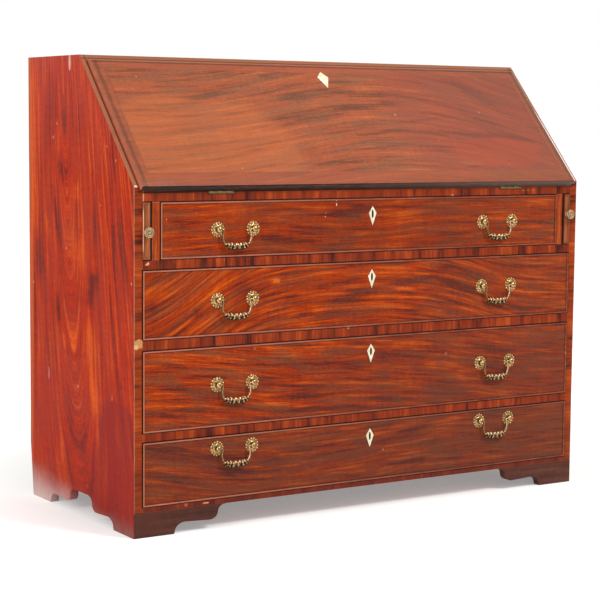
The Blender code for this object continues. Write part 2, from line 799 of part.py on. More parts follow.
def loper(side):
    """A slide that carries the open fall, with its stop peg and turned brass knob."""
    name = f"loper_{'left' if side < 0 else 'right'}"
    outer = side * (INNER_HALF - LOPER_SIDE_GAP)
    inner = side * (PARTITION_OUTER + LOPER_SIDE_GAP)
    bottom = RAIL_TOPS[0] + DRAWER_BOTTOM_GAP
    top = BED_BOTTOM - LOPER_TOP_GAP
    middle_x = (outer + inner) / 2
    slide = add_empty(f"{name}_slide", CASE, (middle_x, 0, (bottom + top) / 2))
    half_height = (top - bottom) / 2
    half_width = LOPER_THICKNESS / 2
    low = (-half_width, -LOPER_PROUD, -half_height)
    high = (half_width, LOPER_LENGTH, half_height)
    body = add_part(name, beaded_board(low, high, LOPER_BEAD, LOPER_PROUD / 2), slide, MAHOGANY)
    peg_z = (RAIL_TOPS[0] + BED_BOTTOM) / 2 - (bottom + top) / 2
    inward = -side * half_width
    peg = cylinder(PEG_RADIUS, inward + side * OVERRUN, inward - side * PEG_LENGTH, POST_SIDES)
    place = (0, LOPER_LENGTH - PEG_FROM_BACK, peg_z)
    cut(body, peg, "peg", location=place, operation="UNION")

    rise = LEFT_KNOB_RISE if side < 0 else RIGHT_KNOB_RISE
    turned_knob(f"{name}_knob", slide, (0, -LOPER_PROUD / 2 - TOUCH_GAP, rise), KNOB_SIDES)


def front_foot(side):
    """A front bracket foot, mitred to the side at the corner, with the glue block behind it."""
    outline = [(side * HALF_WIDTH, 0)]
    outline += [(side * (HALF_WIDTH - away), height) for away, height in foot_scroll()]
    top = FOOT_HEIGHT - TOUCH_GAP
    outline = [(across, min(height, top)) for across, height in outline]
    outline.append((side * HALF_WIDTH, top))
    name = f"foot_front_{'left' if side < 0 else 'right'}"
    foot = add_part(name, prism("XZ", outline, 0, FOOT_THICKNESS), CASE, MAHOGANY_FOOT)
    mitre = [
        (side * (HALF_WIDTH + OVERRUN), -OVERRUN * FOOT_THICKNESS / SIDE_THICKNESS),
        (side * (INNER_HALF - OVERRUN), FOOT_THICKNESS * (1 + OVERRUN / SIDE_THICKNESS)),
        (side * (HALF_WIDTH + OVERRUN), FOOT_THICKNESS * (1 + OVERRUN / SIDE_THICKNESS)),
    ]
    cut(foot, prism("XY", mitre, -OVERRUN, FOOT_HEIGHT + OVERRUN), "mitre")
    inner = side * (INNER_HALF - TOUCH_GAP)
    block = [
        (inner, FOOT_THICKNESS - OVERRUN),
        (inner, FOOT_THICKNESS + GLUE_BLOCK),
        (inner - side * GLUE_BLOCK, FOOT_THICKNESS),
        (inner - side * GLUE_BLOCK, FOOT_THICKNESS - OVERRUN),
    ]
    return cut(foot, prism("XY", block, TAIL_SET_IN, top - TAIL_SET_IN), "glue_block", operation="UNION")


def back_foot(side):
    """The plain bracket that braces the back foot across the case."""
    outer = INNER_HALF - TOUCH_GAP
    top = FOOT_HEIGHT - TOUCH_GAP
    drawn = [
        (outer, 0),
        (outer - BACK_FOOT_WIDTH, 0),
        (outer - BACK_FOOT_WIDTH - BACK_FOOT_FLARE, top),
        (outer, top),
    ]
    outline = [(side * across, height) for across, height in drawn]
    behind = CASE_DEPTH - BACK_FOOT_SETBACK
    mesh = prism("XZ", outline, behind - BACK_FOOT_THICKNESS, behind)
    return add_part(f"foot_back_{'left' if side < 0 else 'right'}", mesh, CASE, PINE)


def hinge_mortise(kind):
    """Room for the barrel and one leaf: kind -1 in the bed behind it, +1 in the fall's inner face."""
    half = HINGE_LENGTH / 2 + TOUCH_GAP
    room = BARREL_RADIUS + TOUCH_GAP
    barrel = cylinder(room, -half, half, BARREL_SIDES)
    deep = HINGE_LEAF_THICKNESS + TOUCH_GAP
    low, high = (-deep, OVERRUN) if kind < 0 else (-OVERRUN, deep)
    leaf = boxes(((-half, 0, low), (half, HINGE_LEAF_WIDTH + TOUCH_GAP, high)))
    shape = add_part("mortise", barrel, None, BRASS)
    cut(shape, leaf, "leaf", operation="UNION")
    cutter = bpy.data.objects[f"{shape.name}_leaf"]
    mesh = baked(shape)
    bpy.data.objects.remove(cutter, do_unlink=True)
    return mesh


def hinge_leaf(name, parent, location, fixed):
    """A leaf with its knuckles. The fixed leaf has the outer two and the pin through all three."""
    half = HINGE_LENGTH / 2
    knuckle = HINGE_LENGTH * KNUCKLE_SHARE / 2
    low, high = (-HINGE_LEAF_THICKNESS, 0) if fixed else (0, HINGE_LEAF_THICKNESS)
    plate = boxes(((-half, LEAF_START, low), (half, HINGE_LEAF_WIDTH, high)))
    leaf = add_part(name, plate, parent, BRASS, location)
    spans = [(-half, -knuckle), (knuckle, half)] if fixed else [(-knuckle, knuckle)]
    gap = TOUCH_GAP / 2
    for number, (start, end) in enumerate(spans):
        start = start if start == -half else start + gap
        end = end if end == half else end - gap
        barrel = cylinder(BARREL_RADIUS, start, end, BARREL_SIDES)
        cut(leaf, barrel, f"knuckle_{number}", parent, location, "UNION")
        tab = boxes(((start, TAB_START, low + WELD), (end, LEAF_START + OVERRUN, high - WELD)))
        cut(leaf, tab, f"tab_{number}", parent, location, "UNION")
    if fixed:
        pin = cylinder(PIN_RADIUS, -half + OVERRUN, half - OVERRUN, POST_SIDES)
        cut(leaf, pin, "pin", parent, location, "UNION")
    else:
        bore = cylinder(PIN_RADIUS + TOUCH_GAP, -half, half, POST_SIDES)
        cut(leaf, bore, "bore", parent, location)
    return leaf


def kite(width, height, shoulder, grow=0.0):
    """The four corners of an escutcheon, its top corner at the origin."""
    half = width / 2 + grow
    return [(0, grow), (half, -shoulder), (0, -height - grow), (-half, -shoulder)]


def fall():
    """The sloping fall, with its lip on three sides, thumbnail edge, lock, escutcheon and leaves."""
    axis = add_empty("fall_axis", CASE, (0, -HINGE_GAP, BED_TOP), SLOPE_ANGLE)
    half_lip = INNER_HALF + FALL_OVERLAP
    shape = bmesh.new()
    low = (-half_lip, HINGE_GAP, FALL_REBATE)
    high = (half_lip, FALL_LIP_END, FALL_THICKNESS - FALL_STEP)
    add_box(shape, low, high)
    shape.edges.ensure_lookup_table()
    rim = [
        edge
        for edge in shape.edges
        if all(vert.co.z > (FALL_REBATE + FALL_THICKNESS) / 2 for vert in edge.verts)
    ]
    bmesh.ops.bevel(
        shape,
        geom=rim,
        offset=THUMBNAIL,
        segments=THUMBNAIL_STEPS,
        profile=THUMBNAIL_ROUND_SHARE,
        affect="EDGES",
    )
    field = max(shape.faces, key=lambda face: face.calc_center_median().z)
    made = bmesh.ops.extrude_face_region(shape, geom=[field])
    moved = [item for item in made["geom"] if isinstance(item, bmesh.types.BMVert)]
    bmesh.ops.translate(shape, vec=(0, 0, FALL_STEP), verts=moved)
    bmesh.ops.delete(shape, geom=[field], context="FACES_ONLY")
    board = add_part("fall", welded(mesh_of(shape)), axis, MAHOGANY)

    half = INNER_HALF - FALL_SIDE_GAP
    core = boxes(((-half, HINGE_GAP, 0), (half, FALL_END, FALL_REBATE + FALL_STEP)))
    cut(board, core, "core", operation="UNION")
    for side, word in ((-1, "left"), (1, "right")):
        middle = (side * (HALF_WIDTH - HINGE_FROM_END), 0, 0)
        cut(board, hinge_mortise(1), f"hinge_{word}", location=middle)
        hinge_leaf(f"hinge_{word}_fall_leaf", axis, middle, fixed=False)
        on_bed = (middle[0], -HINGE_GAP, BED_TOP)
        hinge_leaf(f"hinge_{word}_bed_leaf", CASE, on_bed, fixed=True)

    lock_half = FALL_LOCK_WIDTH / 2
    lock_low = (-lock_half, FALL_END - FALL_LOCK_HEIGHT, 0)
    lock_high = (lock_half, FALL_END, FALL_LOCK_DEPTH)
    grown_low = (lock_low[0] - TOUCH_GAP, lock_low[1] - TOUCH_GAP, -OVERRUN)
    grown_high = (lock_high[0] + TOUCH_GAP, FALL_END + OVERRUN, FALL_LOCK_DEPTH + TOUCH_GAP)
    cut(board, boxes((grown_low, grown_high)), "lock_mortise")
    lock = add_part("fall_lock", boxes((lock_low, lock_high)), axis, BRASS)
    bolt_half = LOCK_BOLT_WIDTH / 2
    bolt_middle = FALL_LOCK_DEPTH / 2
    bolt = (
        (-bolt_half, FALL_END - OVERRUN, bolt_middle - LOCK_BOLT_DEPTH / 2),
        (bolt_half, FALL_END + FALL_TOP_GAP / 2, bolt_middle + LOCK_BOLT_DEPTH / 2),
    )
    cut(lock, boxes(bolt), "bolt", operation="UNION")

    kite_top = FALL_LIP_END - THUMBNAIL - FALL_KITE_DROP
    face = FALL_THICKNESS
    corners = kite(FALL_KITE_WIDTH, FALL_KITE_HEIGHT, FALL_KITE_SHOULDER)
    grown = kite(FALL_KITE_WIDTH, FALL_KITE_HEIGHT, FALL_KITE_SHOULDER, TOUCH_GAP)
    inlay = prism("XY", corners, face - KITE_THICKNESS, face)
    recess = prism("XY", grown, face - KITE_THICKNESS - TOUCH_GAP, face + OVERRUN)
    cut(board, recess, "kite_recess", location=(0, kite_top, 0))
    add_part("fall_escutcheon", inlay, axis, BONE, (0, kite_top, 0))
    return board


def stadium(width, height, top, steps=ARC_STEPS):
    """A keyhole slot with round ends, hanging down from its top."""
    radius = width / 2
    upper = arc((0, top - radius), (radius, radius), 0, 180)
    lower = arc((0, top - height + radius), (radius, radius), 180, 360)
    return upper + lower


def handle_mount():
    """A petalled rosette with its post and ball head, bored through for the ends of the bail."""
    count = ROSETTE_LOBE_COUNT * LOBE_STEPS
    outline = []
    for index in range(count):
        turn = 2 * math.pi * index / count
        scallop = abs(math.cos(turn * ROSETTE_LOBE_COUNT / 2))
        radius = ROSETTE_RADIUS * (1 - ROSETTE_LOBE_SHARE * (1 - scallop))
        outline.append((radius * math.cos(turn), radius * math.sin(turn)))
    plate = prism("XZ", outline, -ROSETTE_THICKNESS, TOUCH_GAP)
    rosette = add_part("rosette", plate, None, BRASS)

    bottom = POST_OUT - TOUCH_GAP
    profile = [(across * POST_RADIUS, out * POST_RADIUS) for across, out in POST_PROFILE_SHARES]
    profile += [(profile[-1][0], -bottom), (0.0, -bottom)]
    post = turned_part(profile, POST_SIDES)
    post.rotation_euler = (math.pi / 2, 0, 0)
    post.location = (0, -POST_OUT, 0)
    post_mesh = baked(post)
    cut(rosette, post_mesh, "post", operation="UNION")
    reach = ROSETTE_RADIUS
    bore = cylinder(BAIL_RADIUS * BAIL_SWELL_SHARES[0] + BAIL_PLAY, -reach, BAIL_PLAY, BORE_SIDES)
    cut(rosette, bore, "bore", location=(0, -POST_OUT, 0))
    helpers = [bpy.data.objects["rosette_post"], bpy.data.objects["rosette_bore"]]
    mesh = baked(rosette)
    for helper in helpers:
        bpy.data.objects.remove(helper, do_unlink=True)
    return mesh


def bail_mesh():
    """The swan-neck bail, hanging from its two pins, thick and moulded where the fingers go."""
    half = [
        (across * BAIL_SPAN / 2, down * BAIL_DROP, swell)
        for (across, down), swell in zip(BAIL_PATH_SHARES, BAIL_SWELL_SHARES)
    ]
    other_half = [(-across, down, swell) for across, down, swell in half[-2::-1]]
    route = half + other_half
    curve = bpy.data.curves.new("bail", "CURVE")
    curve.dimensions = "3D"
    curve.bevel_depth = BAIL_RADIUS
    curve.bevel_resolution = BAIL_RINGS
    curve.use_fill_caps = True
    spline = curve.splines.new("POLY")
    spline.points.add(len(route) - 1)
    for point, (across, down, swell) in zip(spline.points, route):
        point.co = (across, 0, down, 1)
        point.radius = swell
    bail = bpy.data.objects.new("bail", curve)
    PARTS.objects.link(bail)
    return baked(bail)


def drawer_box(name, slide, half, height):
    """Sides, back and bottom of a drawer, with the tails that enter its front."""
    box_height = height - BOX_DROP
    inner = half - DRAWER_SIDE
    start = DRAWER_FRONT + TOUCH_GAP
    back_inner = DRAWER_BACK - DRAWER_SIDE
    body = boxes(((-half, start, 0), (half, DRAWER_BACK, box_height)))
    box = add_part(name, body, slide, OAK)
    panel_top = PANEL_LOW + PANEL_THICKNESS
    hollow = [
        (start - OVERRUN, -OVERRUN),
        (DRAWER_BACK + OVERRUN, -OVERRUN),
        (DRAWER_BACK + OVERRUN, (PANEL_LOW + panel_top) / 2),
        (back_inner, (PANEL_LOW + panel_top) / 2),
        (back_inner, box_height + OVERRUN),
        (start - OVERRUN, box_height + OVERRUN),
    ]
    cut(box, prism("YZ", hollow, -inner, inner), "hollow")

    wide = inner + PANEL_HOUSING
    panel = (
        (-wide, start + TAIL_SET_IN, PANEL_LOW),
        (wide, DRAWER_BACK - TAIL_SET_IN, panel_top),
    )
    cut(box, boxes(panel), "panel", operation="UNION")
    narrow = inner - GROOVE_STOP - TOUCH_GAP
    tongue = (
        (-narrow, DRAWER_FRONT - GROOVE_DEPTH + TOUCH_GAP, PANEL_LOW + WELD),
        (narrow, start + OVERRUN, panel_top - WELD),
    )
    cut(box, boxes(tongue), "panel_tongue", operation="UNION")

    tails = []
    for side in (-1, 1):
        low = side * (half - TAIL_SET_IN)
        high = side * (inner + TAIL_SET_IN)
        for outline in drawer_tail_outlines(height):
            tails.append((prism("YZ", outline, low, high), Matrix.Identity(4)))
    cut(box, placed(*tails), "tails", operation="UNION")
    return box


def drawer_tail_outlines(height, grow=0.0):
    """Tails of a drawer side, drawn from the side as (depth, height)."""
    centres, step = tail_centres(0, height - BOX_DROP, DRAWER_TAIL_PITCH)
    root = DRAWER_FRONT
    tip = DRAWER_LAP
    return [tail_outline(centre, step, root, tip, OVERRUN, grow) for centre in centres]


def drawer_front(name, slide, half, height, handle_drop, mount):
    """The beaded front, with its dovetail sockets, lock mortise, keyhole, groove and rosettes."""
    low = (-half, -BEAD_PROUD, 0)
    high = (half, DRAWER_FRONT, height)
    mesh = beaded_board(low, high, BEAD_WIDTH, BEAD_PROUD)
    front = add_part(name, mesh, slide, (MAHOGANY, BRASS))

    sockets = []
    for side in (-1, 1):
        outer = side * (half + OVERRUN)
        inner = side * (half - DRAWER_SIDE - TOUCH_GAP)
        for outline in drawer_tail_outlines(height, TOUCH_GAP):
            sockets.append((prism("YZ", outline, outer, inner), Matrix.Identity(4)))
    cut(front, placed(*sockets), "sockets")

    groove_half = half - DRAWER_SIDE - GROOVE_STOP
    panel_top = PANEL_LOW + PANEL_THICKNESS
    groove = (
        (-groove_half, DRAWER_FRONT - GROOVE_DEPTH, PANEL_LOW - TOUCH_GAP),
        (groove_half, DRAWER_FRONT + OVERRUN, panel_top + TOUCH_GAP),
    )
    cut(front, boxes(groove), "groove")

    lock_half = LOCK_WIDTH / 2 + TOUCH_GAP
    mortise = (
        (-lock_half, DRAWER_FRONT - LOCK_DEPTH - TOUCH_GAP, height - LOCK_HEIGHT - TOUCH_GAP),
        (lock_half, DRAWER_FRONT + OVERRUN, height + OVERRUN),
    )
    cut(front, boxes(mortise), "lock_mortise")

    kite_top = height - KITE_DROP
    grown = kite(KITE_WIDTH, KITE_HEIGHT, KITE_SHOULDER, TOUCH_GAP)
    recess = prism("XZ", grown, -OVERRUN, KITE_THICKNESS + TOUCH_GAP)
    cut(front, recess, "kite_recess", location=(0, 0, kite_top))
    slot = prism("XZ", stadium(KEYHOLE_WIDTH, KEYHOLE_HEIGHT, 0), -OVERRUN, DRAWER_FRONT + OVERRUN)
    cut(front, slot, "keyhole", location=(0, 0, kite_top - KEYHOLE_DROP))

    mounts = []
    for handle in (-1, 1):
        for post in (-1, 1):
            place = Vector((handle * HANDLE_FROM_CENTRE + post * BAIL_SPAN / 2, 0, height - handle_drop))
            turn = Matrix.Scale(post, 4, (1, 0, 0))
            mounts.append((mount, Matrix.Translation(place) @ turn))
    mesh = welded(placed(*mounts))
    for index, material in enumerate((MAHOGANY, BRASS)):
        mesh.materials.append(material)
    for face in mesh.polygons:
        face.material_index = 1
    cut(front, mesh, "mounts", operation="UNION")
    return front


def drawer_lock(name, slide, height):
    """A brass lock let into the back of the drawer front, with the pin that the key fits over."""
    half = LOCK_WIDTH / 2
    low = (-half, DRAWER_FRONT - LOCK_DEPTH, height - LOCK_HEIGHT)
    high = (half, DRAWER_FRONT, height)
    lock = add_part(name, boxes((low, high)), slide, BRASS)
    middle = DRAWER_FRONT - LOCK_DEPTH / 2
    bolt_half = LOCK_BOLT_WIDTH / 2
    bolt = (
        (-bolt_half, middle - LOCK_BOLT_DEPTH / 2, height - OVERRUN),
        (bolt_half, middle + LOCK_BOLT_DEPTH / 2, height + LOCK_BOLT_RISE),
    )
    cut(lock, boxes(bolt), "bolt", operation="UNION")
    pin_z = height - KITE_DROP - KEYHOLE_DROP - KEYHOLE_WIDTH / 2
    pin = cylinder(DRILL_PIN_RADIUS, low[1] - DRILL_PIN_LENGTH, low[1] + OVERRUN, POST_SIDES, "Y")
    cut(lock, pin, "drill_pin", location=(0, 0, pin_z), operation="UNION")
    return lock


def long_drawer(number, bottom, height, handle_drop, mount, bail):
    name = f"drawer_{number}"
    opening = PARTITION_INNER if number == 1 else INNER_HALF
    half = opening - DRAWER_SIDE_GAP
    slide = add_empty(f"{name}_slide", CASE, (0, 0, bottom))
    drawer_front(f"{name}_front", slide, half, height, handle_drop, mount)
    drawer_box(f"{name}_box", slide, half, height)
    drawer_lock(f"{name}_lock", slide, height)

    kite_top = height - KITE_DROP
    corners = kite(KITE_WIDTH, KITE_HEIGHT, KITE_SHOULDER)
    inlay = add_part(
        f"{name}_escutcheon", prism("XZ", corners, 0, KITE_THICKNESS), slide, BONE, (0, 0, kite_top)
    )
    slot = prism("XZ", stadium(KEYHOLE_WIDTH, KEYHOLE_HEIGHT, 0), -OVERRUN, KITE_THICKNESS + OVERRUN)
    cut(inlay, slot, "slot", location=(0, 0, kite_top - KEYHOLE_DROP))

    for side, word in ((-1, "left"), (1, "right")):
        place = (side * HANDLE_FROM_CENTRE, -POST_OUT, height - handle_drop)
        add_part(f"{name}_bail_{word}", bail.copy(), slide, BRASS, place)


def valance_outline(left, right, bottom, top):
    """A pigeonhole's opening with an ogee arch cut in the valance over it."""
    points = [(left, bottom), (right, bottom)]
    shoulder = VALANCE_DROP * VALANCE_SHOULDER_SHARE
    middle = (left + right) / 2
    half = (right - left) / 2
    for step in range(VALANCE_STEPS + 1):
        across = 1 - 2 * step / VALANCE_STEPS
        bow = (1 + math.cos(math.pi * across)) / 2
        ripple = shoulder * (1 - math.cos(2 * math.pi * across)) / 2
        points.append((middle + across * half, top - VALANCE_DROP * (1 - bow) + ripple * (1 - bow)))
    return points


def nest(name, left, right, holes):
    """A nest of pigeonholes over the space for one small drawer, open at the back."""
    floor = BED_TOP + TOUCH_GAP
    top = TOP_UNDERSIDE - TOUCH_GAP
    front = NEST_FRONT
    back = INNER_DEPTH - TOUCH_GAP
    body = add_part(name, boxes(((left, front, floor), (right, back, top))), CASE, MAHOGANY)
    drawer_top = floor + NEST_BOARD + SMALL_DRAWER_HEIGHT + 2 * SMALL_DRAWER_GAP
    shelf_top = drawer_top + NEST_BOARD
    pitch = (right - left - NEST_BOARD) / holes
    rooms = [((left + NEST_BOARD, front - OVERRUN, floor + NEST_BOARD),
              (right - NEST_BOARD, back + OVERRUN, drawer_top))]
    arches = []
    for index in range(holes):
        room_left = left + NEST_BOARD + pitch * index
        room_right = left + pitch * (index + 1)
        rooms.append(((room_left, front + VALANCE_DEPTH, shelf_top),
                      (room_right, back + OVERRUN, top - NEST_BOARD)))
        outline = valance_outline(room_left, room_right, shelf_top, top - NEST_BOARD)
        arches.append((prism("XZ", outline, front - OVERRUN, front + VALANCE_DEPTH + OVERRUN),
                       Matrix.Identity(4)))
    cut(body, boxes(*rooms), "rooms")
    cut(body, placed(*arches), "arches")
    return body


def small_drawer(word, left, right):
    """One of the small drawers under the pigeonholes, with its turned knob."""
    name = f"small_drawer_{word}"
    half = (right - left) / 2 - NEST_BOARD - SMALL_DRAWER_GAP
    bottom = BED_TOP + TOUCH_GAP + NEST_BOARD + SMALL_DRAWER_GAP
    slide = add_empty(f"{name}_slide", CASE, ((left + right) / 2, NEST_FRONT, bottom))
    depth = INNER_DEPTH - NEST_FRONT - SMALL_DRAWER_BACK_GAP
    mesh = beaded_board(
        (-half, 0, 0), (half, depth, SMALL_DRAWER_HEIGHT), SMALL_BEAD, SMALL_BEAD_SUNK
    )
    body = add_part(name, mesh, slide, MAHOGANY)
    inner = half - SMALL_DRAWER_SIDE
    top = SMALL_DRAWER_HEIGHT
    hollow = (
        (-inner, SMALL_DRAWER_FRONT, SMALL_DRAWER_BOTTOM),
        (inner, depth - SMALL_DRAWER_SIDE, top + OVERRUN),
    )
    cut(body, boxes(hollow), "hollow")
    rim = (
        (-half - OVERRUN, SMALL_DRAWER_FRONT, top - SMALL_DRAWER_BOX_DROP),
        (half + OVERRUN, depth + OVERRUN, top + OVERRUN),
    )
    cut(body, boxes(rim), "rim")
    place = (0, SMALL_BEAD_SUNK - TOUCH_GAP, top / 2)
    turned_knob(f"{name}_knob", slide, place, SMALL_KNOB_SIDES, SMALL_KNOB_SHARE)


clear_scene()
PARTS = make_collection("slant_front_desk")
CUTTERS = make_collection("cutters", hidden=True)
MAHOGANY = make_material("mahogany", (0.40, 0.11, 0.035), 0.35)
MAHOGANY_SIDE = make_material("mahogany_side", (0.50, 0.08, 0.03), 0.38)
MAHOGANY_FOOT = make_material("mahogany_foot", (0.14, 0.045, 0.028), 0.42)
CROSSBAND = make_material("crossband", (0.46, 0.15, 0.05), 0.35)
OAK = make_material("oak_lining", (0.45, 0.30, 0.16), 0.6)
PINE = make_material("pine_lining", (0.36, 0.23, 0.12), 0.7)
BRASS = make_material("antique_brass", (0.42, 0.33, 0.15), 0.38, 1.0)
BONE = make_material("bone", (0.86, 0.80, 0.62), 0.4)
CASE = add_empty("case_frame", location=(0, FRONT_Y, 0))

case_boards()
for corner in (-1, 1):
    loper_partition(corner)
    loper(corner)
    front_foot(corner)
    back_foot(corner)
fall()

MOUNT = handle_mount()
BAIL = bail_mesh()
for count, (low_edge, tall, drop) in enumerate(zip(DRAWER_BOTTOMS, DRAWER_HEIGHTS, HANDLE_DROPS), start=1):
    long_drawer(count, low_edge, tall, drop, MOUNT, BAIL)

NEST_OUTER = INNER_HALF - TOUCH_GAP
NEST_INNER = NEST_OUTER * (1 - 2 * NEST_WIDTH_SHARE)
CENTRE_HALF = NEST_INNER - TOUCH_GAP
NESTS = (
    ("left", -NEST_OUTER, -NEST_INNER, NEST_HOLE_COUNT),
    ("centre", -CENTRE_HALF, CENTRE_HALF, 1),
    ("right", NEST_INNER, NEST_OUTER, NEST_HOLE_COUNT),
)
for place_word, nest_left, nest_right, hole_count in NESTS:
    nest(f"pigeonholes_{place_word}", nest_left, nest_right, hole_count)
    small_drawer(place_word, nest_left, nest_right)
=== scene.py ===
# %% [markdown]
# A slant-front desk in mahogany
#
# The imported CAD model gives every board, hinge, lock and drawer its true place and size.
# This lesson dresses those solids: it rounds their worn edges, lays figured veneer on them
# and adds the cast brass mounts.
# The model is loaded first, because everything after it is set against its boards.

import json
import math

import bmesh
import bpy
import numpy as np
from mathutils import Matrix, Vector

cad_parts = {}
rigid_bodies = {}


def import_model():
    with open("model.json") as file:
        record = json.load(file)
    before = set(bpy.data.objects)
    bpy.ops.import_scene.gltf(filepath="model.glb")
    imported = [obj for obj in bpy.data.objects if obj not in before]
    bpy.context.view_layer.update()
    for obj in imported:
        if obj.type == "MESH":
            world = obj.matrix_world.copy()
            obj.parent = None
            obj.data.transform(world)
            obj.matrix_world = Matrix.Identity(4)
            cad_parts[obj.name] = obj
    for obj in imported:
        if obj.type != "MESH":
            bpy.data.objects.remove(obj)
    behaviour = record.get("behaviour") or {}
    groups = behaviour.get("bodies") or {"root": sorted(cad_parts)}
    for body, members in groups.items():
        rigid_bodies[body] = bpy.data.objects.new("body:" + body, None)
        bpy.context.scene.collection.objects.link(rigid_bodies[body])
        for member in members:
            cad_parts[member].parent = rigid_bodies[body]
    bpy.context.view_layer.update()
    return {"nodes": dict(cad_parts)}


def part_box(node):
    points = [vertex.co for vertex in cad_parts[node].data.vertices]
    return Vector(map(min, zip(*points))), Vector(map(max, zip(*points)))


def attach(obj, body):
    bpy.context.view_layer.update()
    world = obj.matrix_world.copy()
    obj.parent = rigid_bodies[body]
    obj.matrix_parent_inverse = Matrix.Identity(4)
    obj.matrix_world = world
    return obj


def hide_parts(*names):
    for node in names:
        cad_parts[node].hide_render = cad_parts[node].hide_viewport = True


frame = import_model()
NODES = frame["nodes"]

# %% [markdown]
# The camera
#
# The photograph was taken with a long lens from the front left, a little above level.
# The place and angles below were solved from the edges of the desk in the picture.
# They are written as a direction and a roll, from which the three axes of the camera follow.

# %% Camera
AZIMUTH, ELEVATION, ROLL = np.radians([-32.401, 5.839, 0.509])
CAMERA_PLACE = (-2.289, -3.5600, 0.8948)
FOCAL_PIXELS, PICTURE_PIXELS, SENSOR = 1757.0, 600, 36.0


def link_piece(name, data):
    """A new object in the scene for this mesh, lamp or camera."""
    piece = bpy.data.objects.new(name, data)
    bpy.context.scene.collection.objects.link(piece)
    return piece


def camera_axes():
    """Right, up and backward axes: the backward one from azimuth and elevation, then turned by the roll."""
    cos_up = np.cos(ELEVATION)
    back = np.array([np.sin(AZIMUTH) * cos_up, -np.cos(AZIMUTH) * cos_up, np.sin(ELEVATION)])
    right = np.cross(-back, [0, 0, 1])
    right /= np.linalg.norm(right)
    down = np.cross(-back, right)
    turn = np.array([[np.cos(ROLL), -np.sin(ROLL)], [np.sin(ROLL), np.cos(ROLL)]])
    right, down = turn @ np.array([right, down])
    return right, -down, back


lens = bpy.data.cameras.new("camera")
lens.sensor_width = SENSOR
lens.lens = SENSOR * FOCAL_PIXELS / PICTURE_PIXELS
lens.clip_start, lens.clip_end = 0.1, 100
camera = link_piece("camera", lens)
axes = Matrix([Vector(axis) for axis in camera_axes()]).transposed()
camera.matrix_world = Matrix.Translation(CAMERA_PLACE) @ axes.to_4x4()
bpy.context.scene.camera = camera
print(f"lens {lens.lens:.1f} mm")

# %% [markdown]
# A short way to write materials
#
# A material is a graph of nodes, and written out node by node it is long.
# The small class below adds a node, feeds its inputs and hands back its output, so that a
# finish reads like a maker's recipe: this noise, through that range, mixed between two colours.

# %% Recipe helper
BLACK, WHITE, NOWHERE = (0, 0, 0, 1), (1, 1, 1, 1), (0.0, 0.0, 0.0)


class Recipe:
    """Adds nodes to one node tree and joins them."""

    def __init__(self, tree):
        self.tree = tree

    def node(self, kind, feeds=(), **settings):
        made = self.tree.nodes.new("ShaderNode" + kind)
        for name, value in settings.items():
            setattr(made, name, value)
        for place, value in dict(feeds).items():
            self.feed(made.inputs[place], value)
        return made

    def feed(self, socket, value):
        if isinstance(value, bpy.types.NodeSocket):
            self.tree.links.new(value, socket)
        else:
            socket.default_value = value

    def math(self, operation, first, second=0.0):
        return self.node("Math", {0: first, 1: second}, operation=operation).outputs[0]

    def add(self, first, second):
        return self.math("ADD", first, second)

    def less(self, first, second):
        return self.math("SUBTRACT", first, second)

    def by(self, first, second):
        return self.math("MULTIPLY", first, second)

    def size(self, value):
        return self.math("ABSOLUTE", value)

    def swing(self, noise, height):
        """A noise between 0 and 1 made into a swing of this height about zero."""
        return self.by(self.less(noise, 0.5), height)

    def vector(self, operation, first, second=NOWHERE):
        made = self.node("VectorMath", {0: first, 1: second}, operation=operation)
        return made.outputs["Value" if operation in ("LENGTH", "DOT_PRODUCT") else "Vector"]

    def noise(self, vector, scale=1.0, detail=2.0, roughness=0.5):
        """A noise of one scale, or stretched by a scale for each axis."""
        if isinstance(scale, tuple):
            vector, scale = self.vector("MULTIPLY", vector, scale), 1.0
        feeds = {"Vector": vector, "Scale": scale, "Detail": detail, "Roughness": roughness}
        return self.node("TexNoise", feeds).outputs[0]

    def span(self, value, low, high, to_low=0.0, to_high=1.0):
        feeds = {"Value": value, "From Min": low, "From Max": high, "To Min": to_low, "To Max": to_high}
        return self.node("MapRange", feeds, interpolation_type="SMOOTHSTEP").outputs[0]

    def mix(self, share, first, second):
        return self.node("Mix", {0: share, 6: first, 7: second}, data_type="RGBA").outputs[2]

    def lay(self, under, over, mask, share):
        """A colour over another where the mask says so, at most by this share."""
        return self.mix(self.by(mask, share), under, over)

    def three_tones(self, level, tones, start, turn=0.50, end=0.95):
        """The first tone below the start, the second at the turn, the third above the end."""
        tinted = self.mix(self.span(level, start, turn), tones[0], tones[1])
        return self.mix(self.span(level, turn, end), tinted, tones[2])

    def group(self, tree, feeds):
        return self.node("Group", feeds, node_tree=tree).outputs

    def combine(self, x, y, z=0.0):
        return self.node("CombineXYZ", {0: x, 1: y, 2: z}).outputs[0]

    def split(self, vector):
        return self.node("SeparateXYZ", {0: vector}).outputs

    def point(self):
        return self.node("TexCoord").outputs["Object"]

    def relief(self, shader, height, strength, depth):
        """Feeds a height to the shader's normal."""
        bump = self.node("Bump", {"Strength": strength, "Distance": depth, "Height": height})
        self.feed(shader.inputs["Normal"], bump.outputs[0])


def colour(red, green, blue):
    """A colour as picked from a screen, 0 to 255, turned into linear light."""
    values = np.array([red, green, blue]) / 255
    linear = np.where(values <= 0.04045, values / 12.92, ((values + 0.055) / 1.055) ** 2.4)
    return (*linear.tolist(), 1.0)


